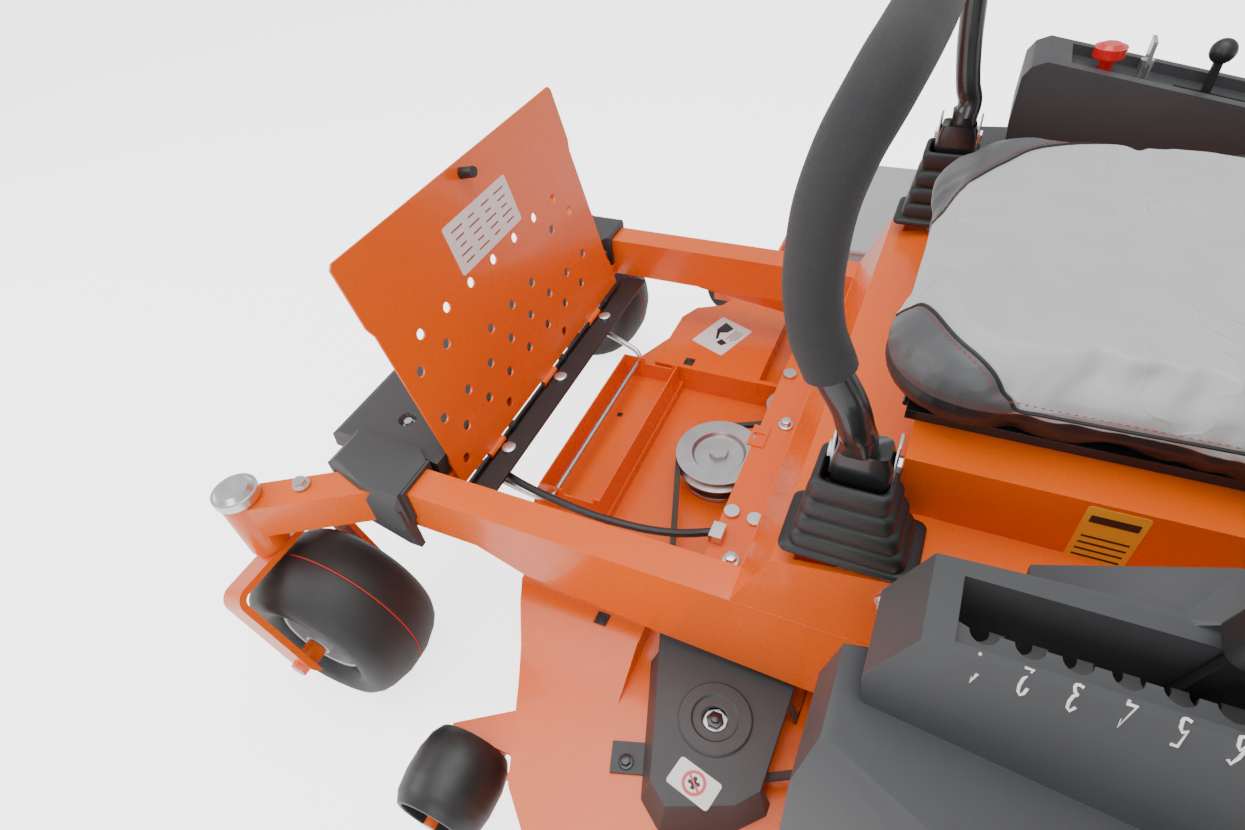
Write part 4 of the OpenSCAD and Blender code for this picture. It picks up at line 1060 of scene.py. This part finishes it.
# %% Figures beside the height lever
STROKES = {
    1: [[(0.12, 0.8), (0.36, 1), (0.36, 0)]],
    2: [[(0, 0.78), (0.1, 0.94), (0.3, 1), (0.5, 0.93), (0.58, 0.76), (0.5, 0.55), (0, 0), (0.6, 0)]],
    3: [[(0.02, 0.86), (0.28, 1), (0.5, 0.93), (0.56, 0.76), (0.46, 0.58), (0.26, 0.53)],
        [(0.26, 0.53), (0.5, 0.46), (0.6, 0.27), (0.5, 0.07), (0.28, 0), (0, 0.14)]],
    4: [[(0.45, 0), (0.45, 1), (0, 0.3), (0.64, 0.3)]],
    5: [[(0.55, 1), (0.1, 1), (0.05, 0.56), (0.3, 0.62), (0.52, 0.52), (0.6, 0.3), (0.5, 0.08),
         (0.28, 0), (0, 0.14)]],
    6: [[(0.54, 0.92), (0.3, 1), (0.08, 0.8), (0, 0.4), (0.08, 0.1), (0.3, 0), (0.52, 0.08),
         (0.6, 0.3), (0.5, 0.52), (0.3, 0.6), (0.08, 0.48), (0.01, 0.34)]],
}
console = skin("left_console")
figures = bmesh.new()
FIGURE_H = 8.5
for figure, strokes in STROKES.items():
    foot_x, foot_y = 480 - FIGURE_H / 2, -368 + 28.4 * (figure - 1) + 2.5
    for stroke in strokes:
        route = [landing(console, (foot_x + v * FIGURE_H, foot_y - u * FIGURE_H, 900))[0]
                 + Vector((0, 0, 0.8)) for u, v in stroke]
        pipe(figures, route, 1.1, sides=2, smooth=False)
add_piece("height_figures", figures, "chassis", "white_label")
print("height figures drawn")

# %% [markdown]
# Labels: a chart inside the tipped pan, a yellow warning on the seat box, a white sign on the
# deck, and a rotating-blade sign on each spindle cover: a red ring with a bar on white.

# %% Labels
pink, pan_ink, yellow, riser_ink = (bmesh.new() for _ in range(4))
pan = skin("floor_pan")
PAN_UP = Vector((0, -0.213, 0.977))
chart, chart_out = landing(pan, (2, -900, 630), (0, -0.977, -0.213))
deck_white, sign_red, sign_black = bmesh.new(), bmesh.new(), bmesh.new()
sheet(pink, chart, (1, 0, 0), chart_out, (164, 74), corner=4)
for row in range(5):
    for column in range(4):
        spot = chart + Vector((-56 + column * 37.0, 0, 0)) + PAN_UP * (24 - row * 12.0)
        sheet(pan_ink, spot, (1, 0, 0), chart_out, (27 - 6 * ((row + column) % 3), 2.2), 0.5, 0.25, 0.6)
riser, riser_out = landing(skin("seat_box"), (330, -264, 548), (-1, 0, 0))
sheet(yellow, riser, (0, 1, 0), riser_out, (48, 74), corner=3)
sheet(riser_ink, riser + Vector((0, 0, 22)), (0, 1, 0), riser_out, (38, 9), 0.5, 0.3, 1)
for row in range(4):
    sheet(riser_ink, riser - Vector((0, 0, 2 + row * 9)), (0, 1, 0), riser_out, (38, 2.4), 0.5, 0.25, 0.8)
shell = skin("deck_shell")
spot, out = landing(shell, (-289, -807, 300))
sheet(deck_white, spot, (0.93, -0.37, 0), out, (92, 74), corner=4)
before = set(sign_black.verts)
plate(sign_black, [(-36, -20), (-8, -20), (-2, -12), (-14, 2), (-30, 4)], 0, 0.7)
plate(sign_black, [(-4, -16), (14, -4), (12, 0), (-8, -11)], 0, 0.7)
plate(sign_black, [(8, 6), (22, 4), (24, 18), (12, 22)], 0, 0.7)
for k in range(4):
    box(sign_black, (-30, 12 + k * 5, 0), (4 - 6 * (k % 2), 13.6 + k * 5, 0.6))
laid(sign_black, before, spot, (0.93, -0.37, 0), out, 0.2)
cover = skin("spindle_covers")
for side in (1, -1):
    spot, out = landing(cover, (side * 496, -573, 300))
    sheet(deck_white, spot, (0.25 * side, 1, 0), out, (56, 34), corner=4)
    before = set(sign_red.verts)
    turned(sign_red, [(10.5, 0), (14, 0), (14, 0.9), (10.5, 0.9)], (0, 0, 0), steps=48)
    box(sign_red, (-11, -1.4, 0), (11, 1.4, 0.85))
    laid(sign_red, before, spot, (1, 1 * side, 0), out, 0.1)
    before = set(sign_black.verts)
    box(sign_black, (-7, -2.2, 0), (7, 2.2, 0.7))
    box(sign_black, (-2, -7, 0), (2, 7, 0.7))
    laid(sign_black, before, spot, (1, 0, 0), out, 0.1)
add_piece("pan_chart", pink, "floor_pan", "white_label", FINISH["pink_label"])
add_piece("pan_chart_rows", pan_ink, "floor_pan", "red_thread", FINISH["brown_ink"])
add_piece("riser_label", yellow, "chassis", "yellow_label")
add_piece("riser_label_rows", riser_ink, "chassis", "black_plastic")
add_piece("deck_marks", deck_white, "deck", "white_label")
add_piece("cover_sign_rings", sign_red, "deck", "red_plastic")
add_piece("cover_sign_shapes", sign_black, "deck", "black_plastic")
print("labels laid")

# %% [markdown]
# Fasteners: flanged bolts on the rails and seat box, pale heads on the hinge strip, screws on the
# cover tabs, square plugs in the deck, and a narrow leaf below the hinge
# that closes the gap under the pin. Each spindle cover has a stepped collar round its hole,
# and the spindle's own nut shows inside.

# %% Bolts, plugs and collars
bolts, deck_bolts, heads, plugs, collars, nuts = (bmesh.new() for _ in range(6))
FRAME = [skin(n) for n in ("left_rail", "right_rail", "seat_box", "cross_members", "footrest")]


def highest(trees, x, y):
    """The highest landing of a ray from above on any of the parts."""
    best = None
    for tree in trees:
        if tree.ray_cast(at(x, y, 900), Vector((0, 0, -1)))[0] is None:
            continue
        spot, out = landing(tree, (x, y, 900))
        if best is None or spot.z > best[0].z:
            best = (spot, out)
    return best


for x, y in ((230, -618), (-37, -617), (-230, -618)):
    spot, out = highest(FRAME, x, y)
    hex_bolt(bolts, spot, 15, out)
for x in (-171, 3, 174):
    turned(heads, [(0.01, 0), (10.8, 0), (10.8, 4.4), (9.4, 5.4), (5.0, 5.8), (0.01, 5.9)],
           (x, -991, 315.2), steps=40)
for side in (1, -1):
    hex_bolt(deck_bolts, landing(cover, (side * 492, -664, 300))[0], 12)
    turned(collars, [(15, -3), (45, -3), (45, 1.2), (43, 3.4), (29, 3.6), (26.5, 1.2), (17, 1.2), (15, 0)],
           (side * 418, -575, 236), steps=72)
    drum(nuts, (side * 418, -575, 231), 11, 8, steps=6, bevel=1)
    drum(nuts, (side * 418, -575, 236), 5.5, 6, steps=24, bevel=0.8)
for x, y in ((-198, -840), (342, -764), (-57, -922)):
    spot, out = landing(shell, (x, y, 300))
    box(plugs, (x - 9, y - 9, spot.z - 1), (x + 9, y + 9, spot.z + 2.2), bevel=1.2)
    box(plugs, (x - 5, y - 5, spot.z + 2), (x + 5, y + 5, spot.z + 3.6), bevel=0.8)
leaf = bmesh.new()
box(leaf, (-300, -1017, 307), (300, -1000, 310.5), bevel=0.8)
add_piece("hinge_leaf", leaf, "chassis", "black_plastic")
add_piece("frame_bolt_heads", bolts, "chassis", "zinc")
add_piece("hinge_heads", heads, "chassis", "zinc")
add_piece("cover_screws", deck_bolts, "deck", "black_plastic", FINISH["black_paint"])
add_piece("cover_collars", collars, "deck", "grey_plastic", crisp=30)
add_piece("spindle_nuts", nuts, "deck", "black_plastic", FINISH["black_paint"])
add_piece("deck_plugs", plugs, "deck", "black_plastic")
print("fasteners placed")

# %% [markdown]
# The height lever drops into a toothed plate in the console's slot: six round notches at the lever's
# pitch. The plate lies along the outer edge of the slot, a little below the rim.

# %% Toothed plate for the height lever
NOTCH_PITCH, NOTCH_R = 28.4, 9.5
first_notch = -366
outline = [(474, -388), (474, -206), (448, -206)]
for k in reversed(range(6)):
    middle_y = first_notch + NOTCH_PITCH * k
    outline += [(453 + NOTCH_R * math.sin(turn), middle_y + NOTCH_R * math.cos(turn))
                for turn in [math.pi * t / 10 for t in range(11)]]
outline.append((448, -388))
teeth = bmesh.new()
plate(teeth, outline, 637, 4)
add_piece("notch_plate", teeth, "chassis", "grey_plastic", crisp=30)
print("notch plate added")
